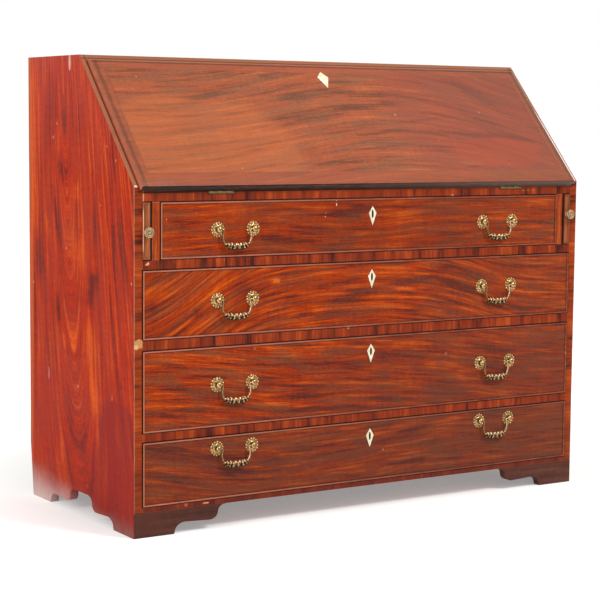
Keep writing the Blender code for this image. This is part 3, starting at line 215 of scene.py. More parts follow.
def new_group(name, inputs, outputs):
    """A node group with named sockets: inputs map a name to a number, a colour or a vector."""
    tree = bpy.data.node_groups.new(name, "ShaderNodeTree")
    for word, value in inputs.items():
        kind = "NodeSocketFloat"
        if isinstance(value, tuple):
            kind = "NodeSocketColor" if len(value) == 4 else "NodeSocketVector"
        socket = tree.interface.new_socket(word, in_out="INPUT", socket_type=kind)
        socket.default_value = value
    for word in outputs:
        kind = "NodeSocketColor" if word == "Color" else "NodeSocketFloat"
        tree.interface.new_socket(word, in_out="OUTPUT", socket_type=kind)
    given = tree.nodes.new("NodeGroupInput").outputs
    result = tree.nodes.new("NodeGroupOutput").inputs
    return Recipe(tree), given, result


def new_material(name, roughness, specular, metallic=0.0):
    """A material with its uniform values on the Principled shader's own sockets."""
    material = bpy.data.materials.new(name)
    material.use_nodes = True
    shader = material.node_tree.nodes["Principled BSDF"]
    shader.inputs["Roughness"].default_value = roughness
    shader.inputs["Metallic"].default_value = metallic
    shader.inputs["Specular IOR Level"].default_value = specular
    return material, Recipe(material.node_tree), shader


# %% [markdown]
# The studio
#
# The desk stands on white paper in soft light: a large lamp overhead in front, a broad one
# at the left, and an even sky.
# The paper and the sky turn white only for rays that come from the camera or from a polished
# surface, so the desk itself is lit at a plain level and its shadow stays on the floor.

# %% Floor, sky and lamps
FLOOR_SIZE, PAPER = 60.0, (0.86, 0.86, 0.84, 1)
GLOW_SHIFT, GLOW_NEAR, GLOW_FAR = (-0.30, 0.0, 0.0), 0.7, 1.5
GLOW_BY_DESK, GLOW_BEYOND = 0.27, 0.6
SKY_LEVEL, ROOM_LEVEL = 0.62, 0.12


def sight_rays(recipe):
    """1 for rays from the camera, from a gloss or through glass, 0 for scattered light."""
    path = recipe.node("LightPath").outputs
    seen = recipe.math("MAXIMUM", path["Is Camera Ray"], path["Is Glossy Ray"])
    return recipe.math("MAXIMUM", seen, path["Is Transmission Ray"])


def make_floor():
    """Paper that takes the shadow, and glows for the camera, less near the desk than far from it."""
    half = FLOOR_SIZE / 2
    mesh = bpy.data.meshes.new("floor")
    corners = [(-half, -half, 0), (half, -half, 0), (half, half, 0), (-half, half, 0)]
    mesh.from_pydata(corners, [], [(0, 1, 2, 3)])
    floor = link_piece("floor", mesh)
    material, recipe, shader = new_material("paper", 1.0, 0.0)
    shader.inputs["Base Color"].default_value = PAPER
    distance = recipe.vector("LENGTH", recipe.vector("ADD", recipe.point(), GLOW_SHIFT))
    strength = recipe.span(distance, GLOW_NEAR, GLOW_FAR, GLOW_BY_DESK, GLOW_BEYOND)
    glow = recipe.node("Emission", {"Color": WHITE, "Strength": strength})
    dark = recipe.node("Emission", {"Color": BLACK, "Strength": 0.0})
    chosen = recipe.node("MixShader", {0: sight_rays(recipe), 1: dark.outputs[0], 2: glow.outputs[0]})
    both = recipe.node("AddShader", {0: shader.outputs[0], 1: chosen.outputs[0]})
    output = material.node_tree.nodes["Material Output"]
    recipe.feed(output.inputs["Surface"], both.outputs[0])
    mesh.materials.append(material)


def make_sky():
    """White behind the desk and overhead, and a dim room in front of it for what gloss reflects."""
    world = bpy.data.worlds.new("studio")
    world.use_nodes = True
    recipe = Recipe(world.node_tree)
    background = world.node_tree.nodes["Background"]
    path = recipe.node("LightPath").outputs
    direction = recipe.split(recipe.node("TexCoord").outputs["Generated"])
    behind = recipe.span(direction["Y"], -0.25, 0.25)
    above = recipe.span(direction["Z"], 0.30, 0.70)
    mirrored = recipe.span(recipe.math("MAXIMUM", behind, above), 0.0, 1.0, ROOM_LEVEL, 1.0)
    gloss = recipe.math("MAXIMUM", path["Is Glossy Ray"], path["Is Transmission Ray"])
    scattered = recipe.by(recipe.less(1.0, gloss), SKY_LEVEL)
    strength = recipe.add(scattered, recipe.by(gloss, mirrored))
    recipe.feed(background.inputs["Strength"], recipe.math("MAXIMUM", strength, path["Is Camera Ray"]))
    background.inputs["Color"].default_value = WHITE
    bpy.context.scene.world = world


def add_lamp(name, place, size, watts):
    """A square area lamp that faces the middle of the desk."""
    light = bpy.data.lights.new(name, "AREA")
    light.shape = "SQUARE"
    light.size = size
    light.energy = watts
    lamp = link_piece(name, light)
    lamp.location = place
    lamp.rotation_euler = (Vector(place) - Vector((0, 0, 0.5))).to_track_quat("Z", "Y").to_euler()


make_floor()
make_sky()
add_lamp("lamp_overhead", (1.3, -2.9, 3.9), 1.2, 118)
add_lamp("lamp_left", (-4.6, -1.2, 2.2), 2.0, 88)
print("studio ready")

# %% [markdown]
# Copies of the boards
#
# A board from the CAD model is a closed solid of loose triangles with knife-sharp edges.
# A copy is merged into a closed shell, its flat faces are joined again, and the faces that
# show figured veneer are sliced into small fields, because the figure is worked out at the
# corners of the mesh.
# A narrow bevel then rounds every edge, as two centuries of hands and dusters do, and gives
# the rounding its own worn finish.

# %% Mesh helpers
MERGE, LIFT = 2e-6, 1e-6
FLAT_ANGLE, SHARP_ANGLE = math.radians(0.3), math.radians(35)


def face_facts(mesh):
    """Middles and outward directions of the faces, as two arrays."""
    middles, normals = np.empty(len(mesh.polygons) * 3), np.empty(len(mesh.polygons) * 3)
    mesh.polygons.foreach_get("center", middles)
    mesh.polygons.foreach_get("normal", normals)
    return middles.reshape(-1, 3), normals.reshape(-1, 3)


def store(mesh, name, values, domain="POINT"):
    """Keeps one number or one vector for each point or face corner, for a material to read."""
    values = np.asarray(values, np.float32)
    kind, field = ("FLOAT_VECTOR", "vector") if values.ndim == 2 else ("FLOAT", "value")
    layer = mesh.attributes.new(name, kind, domain)
    layer.data.foreach_set(field, values.ravel())


def bevel_edges(piece, width, material=-1):
    rounding = piece.modifiers.new("worn_edges", "BEVEL")
    rounding.width = width
    rounding.segments = 2
    rounding.limit_method = "ANGLE"
    rounding.angle_limit = SHARP_ANGLE
    rounding.material = material
    rounding.harden_normals = True
    piece.data.shade_smooth()


def join_flat_faces(shape):
    bmesh.ops.dissolve_limit(
        shape, angle_limit=FLAT_ANGLE, verts=shape.verts, edges=shape.edges, delimit={"MATERIAL"})


def closed_shell(node):
    """The node's mesh, merged and with its flat faces joined, as an open bmesh."""
    shape = bmesh.new()
    shape.from_mesh(NODES[node].data)
    bmesh.ops.remove_doubles(shape, verts=shape.verts, dist=MERGE)
    join_flat_faces(shape)
    return shape


def slice_shell(shape, origin, normal, offsets):
    """Cuts all faces along parallel planes at these distances from the origin, and keeps both halves."""
    origin, normal = Vector(origin), Vector(normal)
    for offset in offsets:
        everything = shape.verts[:] + shape.edges[:] + shape.faces[:]
        place = origin + normal * float(offset)
        bmesh.ops.bisect_plane(shape, geom=everything, plane_co=place, plane_no=normal, dist=LIFT)


def shell_mesh(shape, name, finishes):
    """The shell as a mesh with these finishes."""
    mesh = bpy.data.meshes.new(name)
    shape.to_mesh(mesh)
    shape.free()
    mesh.materials.clear()
    for finish in finishes:
        mesh.materials.append(finish)
    return mesh


print("mesh helpers ready")

# %% [markdown]
# The figure of the mahogany
#
# A plank is cut through a tree, and its streaks are cuts through the tree's rings.
# So a point of a panel gets two new coordinates: how far it lies along the grain, and how far
# from the pith of the tree. Where the pith runs close under the face, the streaks close into
# the pointed arches that cabinet makers call a flame.
# Each panel also has its own dark and light clouds, placed where the real desk has them.
# They are soft spots, long in the direction of the grain.
# The tables of clouds and marks are written in millimetres.

# %% Figure of a panel
def lifted(along, rises):
    """How far the streaks rise across the grain at this place: the sum of smooth steps and humps.

    A step climbs by its height around its middle, and a hump climbs and falls again.
    """
    total = np.zeros_like(along)
    for kind, middle, width, height in rises:
        reach = (along - middle) / width
        total += height * ((1 + np.tanh(reach)) / 2 if kind == "step" else np.exp(-(reach ** 2)))
    return total


def clouds(along, across, spots):
    """Sum of soft spots: each is a flat-topped hill, turned to its own slope and stretched along it."""
    total = np.zeros_like(along)
    for *sizes, slope, strength in spots:
        middle, height, half_length, half_width = np.array(sizes) / 1000
        a, b = along - middle, across - height
        cos, sin = 1 / math.hypot(1, slope), slope / math.hypot(1, slope)
        lengthwise, crosswise = a * cos + b * sin, b * cos - a * sin
        reach = np.abs(lengthwise / (half_length * 1.15)) ** 2.5 + np.abs(crosswise / half_width) ** 2
        total += strength * np.exp(-reach)
    return total


def figure_of(points, grain, across, figure):
    """Ring coordinates and clouds of the points of one panel.

    Along the grain the coordinate is the place itself. Across it is the distance from the
    pith: the root of the squares of the way across, after the lift, and of the pith's depth,
    which changes evenly along the board.
    """
    along, side, other = points[:, grain], points[:, across], points[:, 3 - grain - across]
    tone = clouds(along, side, figure.get("clouds", ())) * figure.get("depth", 1.0)
    side = side - lifted(along, figure.get("rises", ()))
    if "lean" in figure:
        start, end = figure["reach"]
        side = side - figure["lean"] * (along - 0.5) * np.clip((side - start) / (end - start), 0, 1)
    if "pith" in figure:
        place, depth, slope = figure["pith"]
        side = np.hypot(side - place, depth + slope * along)
    return np.stack([along + figure.get("shift", 0.0), side, other], axis=1), tone


print("figure helpers ready")

# %% [markdown]
# Mahogany as a recipe
#
# Polished mahogany shows broad streaks, narrower ones inside them, fine dark pores along the
# grain and a ripple across it that catches the light.
# All four are noises that are stretched along the ring coordinates, so one node group serves
# every board, and each finish gives it its own three colours and its own scale.

# %% Wood groups
TONES = ("Dark", "Middle", "Light")
BLACK_TONES = dict.fromkeys(TONES, BLACK)
FAR_AWAY = 10.0


def figure_group():
    """Streaks = broad noise + narrow noise + clouds, coloured from dark through middle to light."""
    recipe, given, result = new_group(
        "FiguredWood",
        {"Rings": NOWHERE, "Clouds": 0.0, **BLACK_TONES, "Faded": BLACK, "Streak Width": 0.010,
         "Streak Length": 0.30, "Contrast": 1.0, "Pores": 0.3, "Ripple": 0.1, "Drift": 0.0},
        ("Color", "Grain"))
    tones = [given[tone] for tone in TONES]
    wander = recipe.swing(recipe.noise(given["Rings"], (2.6, 7.0, 7.0)), 0.022)
    moved = recipe.vector("ADD", given["Rings"], recipe.combine(0.0, wander, 0.0))
    per_length = recipe.math("DIVIDE", 1.0, given["Streak Length"])
    per_width = recipe.math("DIVIDE", 1.0, given["Streak Width"])
    streaks = recipe.vector("MULTIPLY", moved, recipe.combine(per_length, per_width, per_width))
    broad = recipe.noise(streaks)
    narrow = recipe.noise(streaks, (1.8, 3.3, 3.3), detail=5.0, roughness=0.78)
    ripple = recipe.noise(moved, (95.0, 18.0, 18.0))
    pores = recipe.noise(moved, (110.0, 620.0, 620.0), roughness=0.6)
    drift = recipe.noise(moved, (7.0, 42.0, 42.0), detail=3.0, roughness=0.6)
    body = recipe.add(recipe.swing(broad, 1.7), recipe.swing(narrow, 2.0))
    body = recipe.add(recipe.by(body, given["Contrast"]), recipe.by(given["Clouds"], 0.40))
    body = recipe.add(recipe.add(body, recipe.swing(ripple, given["Ripple"])), 0.5)
    tinted = recipe.three_tones(body, tones, 0.14)
    tinted = recipe.lay(tinted, given["Faded"], recipe.span(drift, 0.44, 0.62), given["Drift"])
    tinted = recipe.lay(tinted, tones[0], recipe.span(pores, 0.50, 0.66), given["Pores"])
    lit = recipe.by(recipe.span(pores, 0.46, 0.34), given["Pores"])
    recipe.feed(result["Color"], recipe.lay(tinted, tones[2], lit, 0.5))
    recipe.feed(result["Grain"], pores)
    return recipe.tree


def band_group():
    """Short-grained banding: cells along the band differ in tone, and each has lines across the band."""
    recipe, given, result = new_group(
        "Crossband", {"Along": 0.0, "Across": 0.0, **BLACK_TONES, "Piece Length": 0.03, "Contrast": 0.5},
        ("Color", "Grain", "Joint"))
    along, across, tones = given["Along"], given["Across"], [given[tone] for tone in TONES]
    cells = {"W": recipe.math("DIVIDE", along, given["Piece Length"]), "Scale": 1.0, "Randomness": 0.9}
    piece, edge = (recipe.node("TexVoronoi", cells, voronoi_dimensions="1D", feature=feature).outputs
                   for feature in ("F1", "DISTANCE_TO_EDGE"))
    chance = recipe.node("SeparateColor", {"Color": piece["Color"]}).outputs
    fine = recipe.combine(recipe.by(along, 260.0), recipe.by(across, 14.0), recipe.by(chance["Red"], 7.0))
    lines = recipe.noise(fine, detail=3.0, roughness=0.6)
    broad = recipe.noise(recipe.combine(recipe.by(along, 55.0), recipe.by(across, 9.0)), detail=1.0)
    body = recipe.add(recipe.swing(lines, 0.9), recipe.swing(broad, 0.9))
    tone = recipe.by(recipe.less(chance["Green"], 0.45), given["Contrast"])
    tinted = recipe.three_tones(recipe.add(recipe.add(body, tone), 0.5), tones, 0.12)
    joint = recipe.span(edge["Distance"], 0.0, 0.045, 1.0, 0.0)
    recipe.feed(result["Color"], recipe.lay(tinted, tones[0], joint, 0.35))
    recipe.feed(result["Grain"], lines)
    recipe.feed(result["Joint"], joint)
    return recipe.tree


def spot_group():
    """A soft-edged ellipsoid: 1 inside, 0 outside, its rim frayed by noise."""
    recipe, given, result = new_group(
        "Spot", {"Point": NOWHERE, "Centre": NOWHERE, "Radii": (0.01, 0.01, 0.01), "Fray": 0.3}, ["Mask"])
    away = recipe.vector("SUBTRACT", given["Point"], given["Centre"])
    scaled = recipe.vector("DIVIDE", away, given["Radii"])
    fray = recipe.noise(scaled, (1.7, 1.7, 1.7), detail=3.0, roughness=0.65)
    reach = recipe.add(recipe.vector("LENGTH", scaled), recipe.swing(fray, given["Fray"]))
    recipe.feed(result["Mask"], recipe.span(reach, 0.8, 1.0, 1.0, 0.0))
    return recipe.tree


def stripe_group():
    """A soft line: 1 where a value lies within its half width of a place, frayed by noise."""
    recipe, given, result = new_group(
        "Stripe", {"Point": NOWHERE, "Value": 0.0, "Place": 0.0, "Half Width": 0.001, "Fray": 0.3}, ["Mask"])
    off = recipe.size(recipe.less(recipe.size(given["Value"]), given["Place"]))
    fray = recipe.swing(recipe.noise(given["Point"], 60.0, detail=4.0, roughness=0.65), given["Fray"])
    reach = recipe.add(recipe.math("DIVIDE", off, given["Half Width"]), fray)
    recipe.feed(result["Mask"], recipe.span(reach, 0.55, 1.0, 1.0, 0.0))
    return recipe.tree


def wear_group():
    """Small knocks: rare round specks and short ticks, thinned out by a slow noise."""
    recipe, given, result = new_group("Wear", {"Point": NOWHERE, "Amount": 0.5}, ["Mask"])
    point = given["Point"]
    cells = {"Vector": recipe.vector("MULTIPLY", point, (17.0, 17.0, 17.0)), "Scale": 1.0, "Randomness": 1.0}
    nearest = recipe.node("TexVoronoi", cells, feature="F1").outputs["Distance"]
    specks = recipe.span(nearest, 0.045, 0.075, 1.0, 0.0)
    chosen = recipe.span(recipe.noise(point, 9.0, detail=1.0), 0.52, 0.6)
    ticks = recipe.span(recipe.noise(point, (420.0, 420.0, 90.0), detail=1.0), 0.74, 0.80)
    rare = recipe.by(recipe.span(recipe.noise(point, 6.0), 0.56, 0.66), 0.6)
    marks = recipe.math("MAXIMUM", recipe.by(specks, chosen), recipe.by(ticks, rare))
    recipe.feed(result["Mask"], recipe.by(marks, given["Amount"]))
    return recipe.tree


def reveal_group(openings, spread, fade):
    """Painted shade and dirt in the reveals: 1 next to an opening of the front, 0 from spread + fade away
    from it.

    The distance to an opening is the larger of the ways past its sides and past its ends, and
    the nearest opening counts. The inner mask is the same inside the opening, along its edge.
    """
    recipe, given, result = new_group("Reveals", {"Point": NOWHERE}, ("Mask", "Inner"))
    split, nearest = recipe.split(given["Point"]), FAR_AWAY
    for middle_x, middle_z, half_x, half_z in openings:
        past_x = recipe.less(recipe.size(recipe.less(split["X"], middle_x)), half_x)
        past_z = recipe.less(recipe.size(recipe.less(split["Z"], middle_z)), half_z)
        nearest = recipe.math("MINIMUM", nearest, recipe.math("MAXIMUM", past_x, past_z))
    moved = recipe.add(nearest, recipe.swing(recipe.noise(given["Point"], 90.0), 0.0008))
    recipe.feed(result["Mask"], recipe.span(moved, spread, spread + fade, 1.0, 0.0))
    recipe.feed(result["Inner"], recipe.span(moved, -0.0075, -0.0040))
    return recipe.tree


def kite_group(tops, height, half, shoulder):
    """Painted shade and dirt under and round the bone kites: 1 inside a kite, 0 from a fifth of its size
    outside it.
    """
    recipe, given, result = new_group("Kites", {"Point": NOWHERE}, ["Mask"])
    split, nearest = recipe.split(given["Point"]), FAR_AWAY
    sideways = recipe.math("DIVIDE", recipe.size(split["X"]), half)
    for top in tops:
        rise = recipe.less(split["Z"], top - shoulder)
        over, under = (recipe.math("DIVIDE", rise, length) for length in (shoulder, shoulder - height))
        reach = recipe.add(sideways, recipe.math("MAXIMUM", over, under))
        nearest = recipe.math("MINIMUM", nearest, reach)
    recipe.feed(result["Mask"], recipe.span(nearest, 1.02, 1.18, 1.0, 0.0))
    return recipe.tree


def opening_of(node, left, top, right=0.0):
    """Middle and half sizes of the front of a node, widened on three sides, mostly where shadow gathers."""
    low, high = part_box(node)
    return ((low[0] + high[0] - left + right) / 2, (low[2] + high[2] + top) / 2,
            (high[0] - low[0] + left + right) / 2, (high[2] - low[2] + top) / 2)


KITE_TOPS = [float(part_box(f"drawer_{number}_escutcheon")[1][2]) for number in range(1, 5)]
FIGURED, BANDED, SPOT, WORN, STRIPE = figure_group(), band_group(), spot_group(), wear_group(), stripe_group()
OPENINGS = [opening_of(f"drawer_{number}_front", 0.0008, 0.0006) for number in range(1, 5)]
OPENINGS += [opening_of(f"loper_{side}", -0.0010, 0.0006, -0.0024) for side in ("left", "right")]
REVEALS = reveal_group(OPENINGS, spread=0.0016, fade=0.0010)
KITES = kite_group(KITE_TOPS, height=0.0445, half=0.0108, shoulder=0.0160)
print("wood groups:", FIGURED.name, BANDED.name, SPOT.name, WORN.name, STRIPE.name, REVEALS.name, KITES.name)

# %% [markdown]
# The wood finishes
#
# The left side has kept the most colour, a vivid orange red. The drawer fronts are a browner
# red, and the fall, which has met the most light and hands, is faded to a dull salmon.
# The feet are nearly black with wax and dirt, and the hidden boards are bare oak and pine.
# A bevel's own worn finish is the same wood, rubbed paler.

# %% Wood materials
# The near-black colour and its three shares paint shade, with some dirt, into the reveals round the fronts,
# inside the beads and round the bone kites.
SCRATCH_COLOUR, WORN_COLOUR, SHADE_AND_DIRT_COLOUR = colour(226, 180, 140), colour(205, 130, 95), colour(26, 12, 8)
GRAIN_STRENGTH, GRAIN_DEPTH = 0.35, 0.00012
REVEAL_SHADE_AND_DIRT, INNER_SHADE_AND_DIRT, KITE_SHADE_AND_DIRT, BAND_WEAR = 0.94, 0.40, 0.85, 0.4


def metres(sizes):
    return tuple(size / 1000 for size in sizes)


def marked(recipe, point, tinted, spots, stripes=()):
    """Lays listed stripes and spots over a colour."""
    split = recipe.split(point)
    for axis, *sizes, fray, share, tint in stripes:
        place, half_width = metres(sizes)
        mask = recipe.group(STRIPE, {"Point": point, "Value": split[axis], "Place": place,
                                     "Half Width": half_width, "Fray": fray})[0]
        tinted = recipe.lay(tinted, colour(*tint), mask, share)
    for centre, radii, fray, share, tint in spots:
        mask = recipe.group(SPOT, {"Point": point, "Centre": metres(centre), "Radii": metres(radii),
                                   "Fray": fray})[0]
        tinted = recipe.lay(tinted, colour(*tint), mask, share)
    return tinted


def knocked(recipe, point, tinted, amount):
    """The colour with small knocks, and where they are."""
    worn = recipe.group(WORN, {"Point": point, "Amount": amount})["Mask"]
    return recipe.mix(worn, tinted, SCRATCH_COLOUR), worn


def palette(tones):
    return dict(zip(TONES, (colour(*tone) for tone in tones)))


def wood_material(name, tones, numbers, spots=(), stripes=(), fades=(), shade_and_dirt=None, rubbed=0.0, drift=0.0,
                  faded=(0, 0, 0)):
    """A figured wood: the group's colour, then wear, fades from full to none, painted shade with some dirt,
    and listed marks.

    The numbers are the streaks' width and length, contrast, pores, ripple, roughness, specular and wear.
    """
    width, length, contrast, pores, ripple, roughness, specular, wear = numbers
    material, recipe, shader = new_material(name, roughness, specular)
    point = recipe.point()
    rings, cloud = (recipe.node("Attribute", attribute_name=word).outputs for word in ("rings", "clouds"))
    figure = recipe.group(FIGURED, {
        "Rings": rings["Vector"], "Clouds": cloud["Fac"], **palette(tones), "Faded": colour(*faded),
        "Streak Width": width, "Streak Length": length, "Contrast": contrast, "Pores": pores,
        "Ripple": ripple, "Drift": drift})
    tinted, grain = figure["Color"], figure["Grain"]
    if rubbed:
        rub = recipe.noise(point, 60.0, detail=3.0)
        tinted = recipe.mix(recipe.span(rub, 0.35, 0.65, rubbed * 0.35, rubbed), tinted, WORN_COLOUR)
    tinted, worn = knocked(recipe, point, tinted, wear)
    for direction, *ends, share, tint in fades:
        full, none = metres(ends)
        patch = recipe.swing(recipe.noise(point, 14.0, detail=3.0, roughness=0.6), 0.4 * abs(full - none))
        level = recipe.add(recipe.vector("DOT_PRODUCT", point, direction), patch)
        tinted = recipe.mix(recipe.span(level, full, none, share, 0.0), tinted, colour(*tint))
    # Painted shade, with some dirt: the reveals darken next to the openings, and the fronts darken inside
    # their beads and round the bone kites.
    if shade_and_dirt:
        mask, inner = recipe.group(REVEALS, {"Point": point})
    if shade_and_dirt == "reveals":
        tinted = recipe.lay(tinted, SHADE_AND_DIRT_COLOUR, mask, REVEAL_SHADE_AND_DIRT)
    if shade_and_dirt == "front":
        tinted = recipe.lay(tinted, SHADE_AND_DIRT_COLOUR, inner, INNER_SHADE_AND_DIRT)
        tinted = recipe.lay(tinted, SHADE_AND_DIRT_COLOUR, recipe.group(KITES, {"Point": point})[0], KITE_SHADE_AND_DIRT)
    recipe.feed(shader.inputs["Base Color"], marked(recipe, point, tinted, spots, stripes))
    dull = recipe.span(grain, 0.5, 0.75, roughness, min(1.0, roughness + 0.12))
    rough = recipe.add(dull, recipe.swing(recipe.noise(point, 6.0), 0.14))
    recipe.feed(shader.inputs["Roughness"], recipe.add(rough, recipe.by(worn, 0.3)))
    recipe.relief(shader, grain, GRAIN_STRENGTH, GRAIN_DEPTH)
    return material


def band_material(name, tones, piece_length, contrast, roughness, lengthwise, spots, stripes=()):
    """Crossbanding whose pieces follow one another along the X or the Z direction of the object."""
    material, recipe, shader = new_material(name, roughness, 0.08)
    point = recipe.point()
    split = recipe.split(point)
    band = recipe.group(BANDED, {
        "Along": split[lengthwise], "Across": split["Z" if lengthwise == "X" else "X"], **palette(tones),
        "Piece Length": piece_length, "Contrast": contrast})
    tinted = knocked(recipe, point, band["Color"], BAND_WEAR)[0]
    # Painted shade, with some dirt, darkens the band in the reveals next to the openings.
    shade_and_dirt = recipe.group(REVEALS, {"Point": point})["Mask"]
    tinted = recipe.lay(tinted, SHADE_AND_DIRT_COLOUR, shade_and_dirt, REVEAL_SHADE_AND_DIRT)
    recipe.feed(shader.inputs["Base Color"], marked(recipe, point, tinted, spots, stripes))
    grain = band["Grain"]
    recipe.feed(shader.inputs["Roughness"], recipe.span(grain, 0.4, 0.75, roughness, roughness + 0.12))
    recipe.relief(shader, recipe.less(grain, band["Joint"]), GRAIN_STRENGTH, GRAIN_DEPTH)
    return material


print("finishes can be mixed")

# %% [markdown]
# The colours of this desk
#
# Three tones make a wood: the dark of the pores and streaks, the ground, and the lit streaks.
# They were chosen against the photograph, board by board.
# Single marks follow them: a nick at the top of the side, a chip on the fall's lower edge,
# patches in the base rail. Each is one soft spot at its place, laid over the others before it.

# %% Finishes of the wood
UPWARD, RIGHTWARD, LEFTWARD = (0, 0, 1), (1, 0, 0), (-1, 0, 0)
FRONT_PLANE, SIDE_PLANE = -260.5, -610.5
PALE, TAN, SOOT, BRUISE = (236, 214, 190), (198, 142, 92), (46, 26, 18), (214, 150, 140)
FRONT_TONES = (90, 34, 26), (160, 50, 4), (212, 92, 14)
EDGE_TONES = (88, 34, 20), (162, 64, 22), (202, 96, 36)
# A painted highlight down the lit left edge of the left loper.
LOPER_HIGHLIGHT = (-588.2, -260, 660), (2.6, 4, 60), 0.3, 0.85, (240, 176, 150)


def nick(x, z, half_x, half_z, fray, share, tint):
    """A spot on the front plane of the desk."""
    return (x, FRONT_PLANE, z), (half_x, 4, half_z), fray, share, tint


side_wood = wood_material(
    "side_mahogany", ((100, 26, 18), (172, 40, 8), (218, 88, 14)),
    (0.009, 0.26, 0.72, 0.30, 0.20, 0.42, 0.03, 0.4), drift=0.25, faded=(140, 58, 44),
    fades=[(UPWARD, 1040, 740, 0.12, (206, 108, 104)), (UPWARD, 10, 110, 0.35, (124, 48, 50)),
           (UPWARD, 100, 440, 0.32, (168, 44, 28)), (UPWARD, -6, 52, 0.55, (136, 88, 76)),
           ((0, -0.12, 1), -50, 66, 0.88, (228, 204, 198))],
    spots=[((SIDE_PLANE, -190, 110), (4, 170, 180), 1.0, 0.50, (118, 24, 30)),
           ((SIDE_PLANE, 53, 1020), (4, 6.5, 22), 0.3, 0.8, (222, 168, 160)),
           ((SIDE_PLANE, 272, 600), (4, 16, 600), 0.3, 0.5, (196, 96, 40)),
           ((SIDE_PLANE, 173, 304), (4, 6, 16), 0.8, 0.30, BRUISE),
           ((SIDE_PLANE, -156, 291), (4, 3, 8), 0.8, 0.35, BRUISE)])


def front_material(number, tones, contrast, drift, spots=(), width=0.010):
    """A drawer front's wood; all four darken towards the floor and the right end."""
    return wood_material(
        f"drawer_{number}_mahogany", tones, (width, 0.15, contrast, 0.34, 0.20, 0.40, 0.08, 0.3), spots,
        fades=[(UPWARD, 60, 420, 0.30, (92, 48, 40)), (RIGHTWARD, 600, -200, 0.28, (92, 62, 46))],
        shade_and_dirt="front", drift=drift, faded=(112, 64, 42))


FRONT_WOODS = (
    front_material(1, FRONT_TONES, 0.74, 0.50, [
        ((20, FRONT_PLANE, 660), (420, 20, 100), 0.8, 0.22, (86, 38, 26)),
        nick(-100.2, 718.0, 1.6, 3.8, 0.5, 0.9, PALE), nick(-99.2, 706.8, 1.3, 3.5, 0.5, 0.9, PALE),
        nick(-129.4, 680.3, 1.2, 1.4, 0.4, 0.9, PALE), nick(-127.5, 688.5, 0.9, 1.1, 0.4, 0.8, PALE),
        nick(-532.2, 682.8, 1.1, 2.4, 0.4, 0.8, TAN)]),
    front_material(2, FRONT_TONES, 0.90, 0.40, [
        nick(-255.0, 540.0, 9.5, 6.0, 2.4, 0.35, (214, 124, 64)),
        nick(-276.4, 466.0, 0.8, 11.0, 0.4, 0.7, SOOT),
        nick(-306.3, 429.0, 1.4, 1.6, 0.4, 0.8, PALE)], width=0.0075),
    front_material(3, FRONT_TONES, 0.90, 0.65, [
        ((300, FRONT_PLANE, 310), (500, 20, 140), 0.8, 0.26, (88, 40, 34))]),
    front_material(4, ((78, 36, 30), (138, 50, 18), (190, 84, 24)), 0.82, 0.60),
)
fall_wood = wood_material(
    "fall_mahogany", ((104, 60, 42), (160, 80, 50), (190, 104, 58)),
    (0.011, 0.20, 0.68, 0.40, 0.22, 0.40, 0.12, 0.5), drift=0.50, faded=(126, 84, 60),
    # Darker towards the right end: painted shade, where the sheen that lights the left end of the fall falls
    # off.
    fades=[(RIGHTWARD, 600, 0, 0.36, (104, 68, 56))],
    stripes=[("X", 570, 4.5, 2.4, 0.32, (92, 60, 44))],
    spots=[((460, -100, 900), (340, 400, 400), 0.3, 0.35, (142, 66, 56)),
           ((410, -200, 815), (160, 50, 50), 1.0, 0.30, (172, 70, 44)),
           ((-420, -200, 800), (300, 200, 200), 0.3, 0.30, (196, 108, 60)),
           ((-457.1, -18.5, 1010.2), (2.1, 4, 2.1), 0.4, 0.9, PALE),
           ((-271.9, -151.4, 868.1), (0.9, 4, 4), 0.4, 0.7, PALE),
           ((-309.7, -216.1, 799), (0.9, 4, 4), 0.4, 0.6, PALE),
           ((117, -17.2, 1011.6), (13, 4, 1.6), 0.8, 0.6, PALE),
           ((124.6, -42.6, 984.4), (1.4, 10, 10), 0.6, 0.8, PALE),
           ((541.3, -77.3, 947.2), (5, 4, 2.6), 0.6, 0.7, PALE)])
fall_border = wood_material(
    "fall_border", ((130, 70, 48), (158, 80, 52), (172, 94, 58)),
    (0.008, 0.20, 0.60, 0.40, 0.20, 0.42, 0.12, 0.5), drift=0.30, faded=(118, 74, 54),
    # The same painted shade towards the right end as on the field.
    fades=[(RIGHTWARD, 600, 0, 0.30, (112, 74, 60))],
    stripes=[("X", 585, 5.2, 2.2, 0.55, (84, 58, 42)), ("Z", 1020.5, 2.2, 0.6, 0.5, SOOT)],
    spots=[((-596.9, -7.6, 1021.8), (1.8, 4, 1.8), 0.4, 0.9, PALE),
           ((-573.5, -148.6, 871.2), (1.9, 4, 1.9), 0.4, 1.0, PALE)])
string_wood = wood_material(
    "dark_string", ((112, 62, 44), (138, 76, 52), (152, 88, 58)),
    (0.003, 0.1, 0.8, 0.2, 0.0, 0.45, 0.12, 0.3))
lip_wood = wood_material(
    "fall_lip", ((132, 66, 44), (156, 82, 54), (176, 100, 66)),
    (0.020, 0.60, 0.5, 0.1, 0.1, 0.16, 0.40, 0.2),
    [((-590.2, -259.7, 753), (4, 5, 5), 1.6, 0.9, PALE), ((-577, -255, 758), (6, 5, 5), 1.6, 0.8, TAN)])
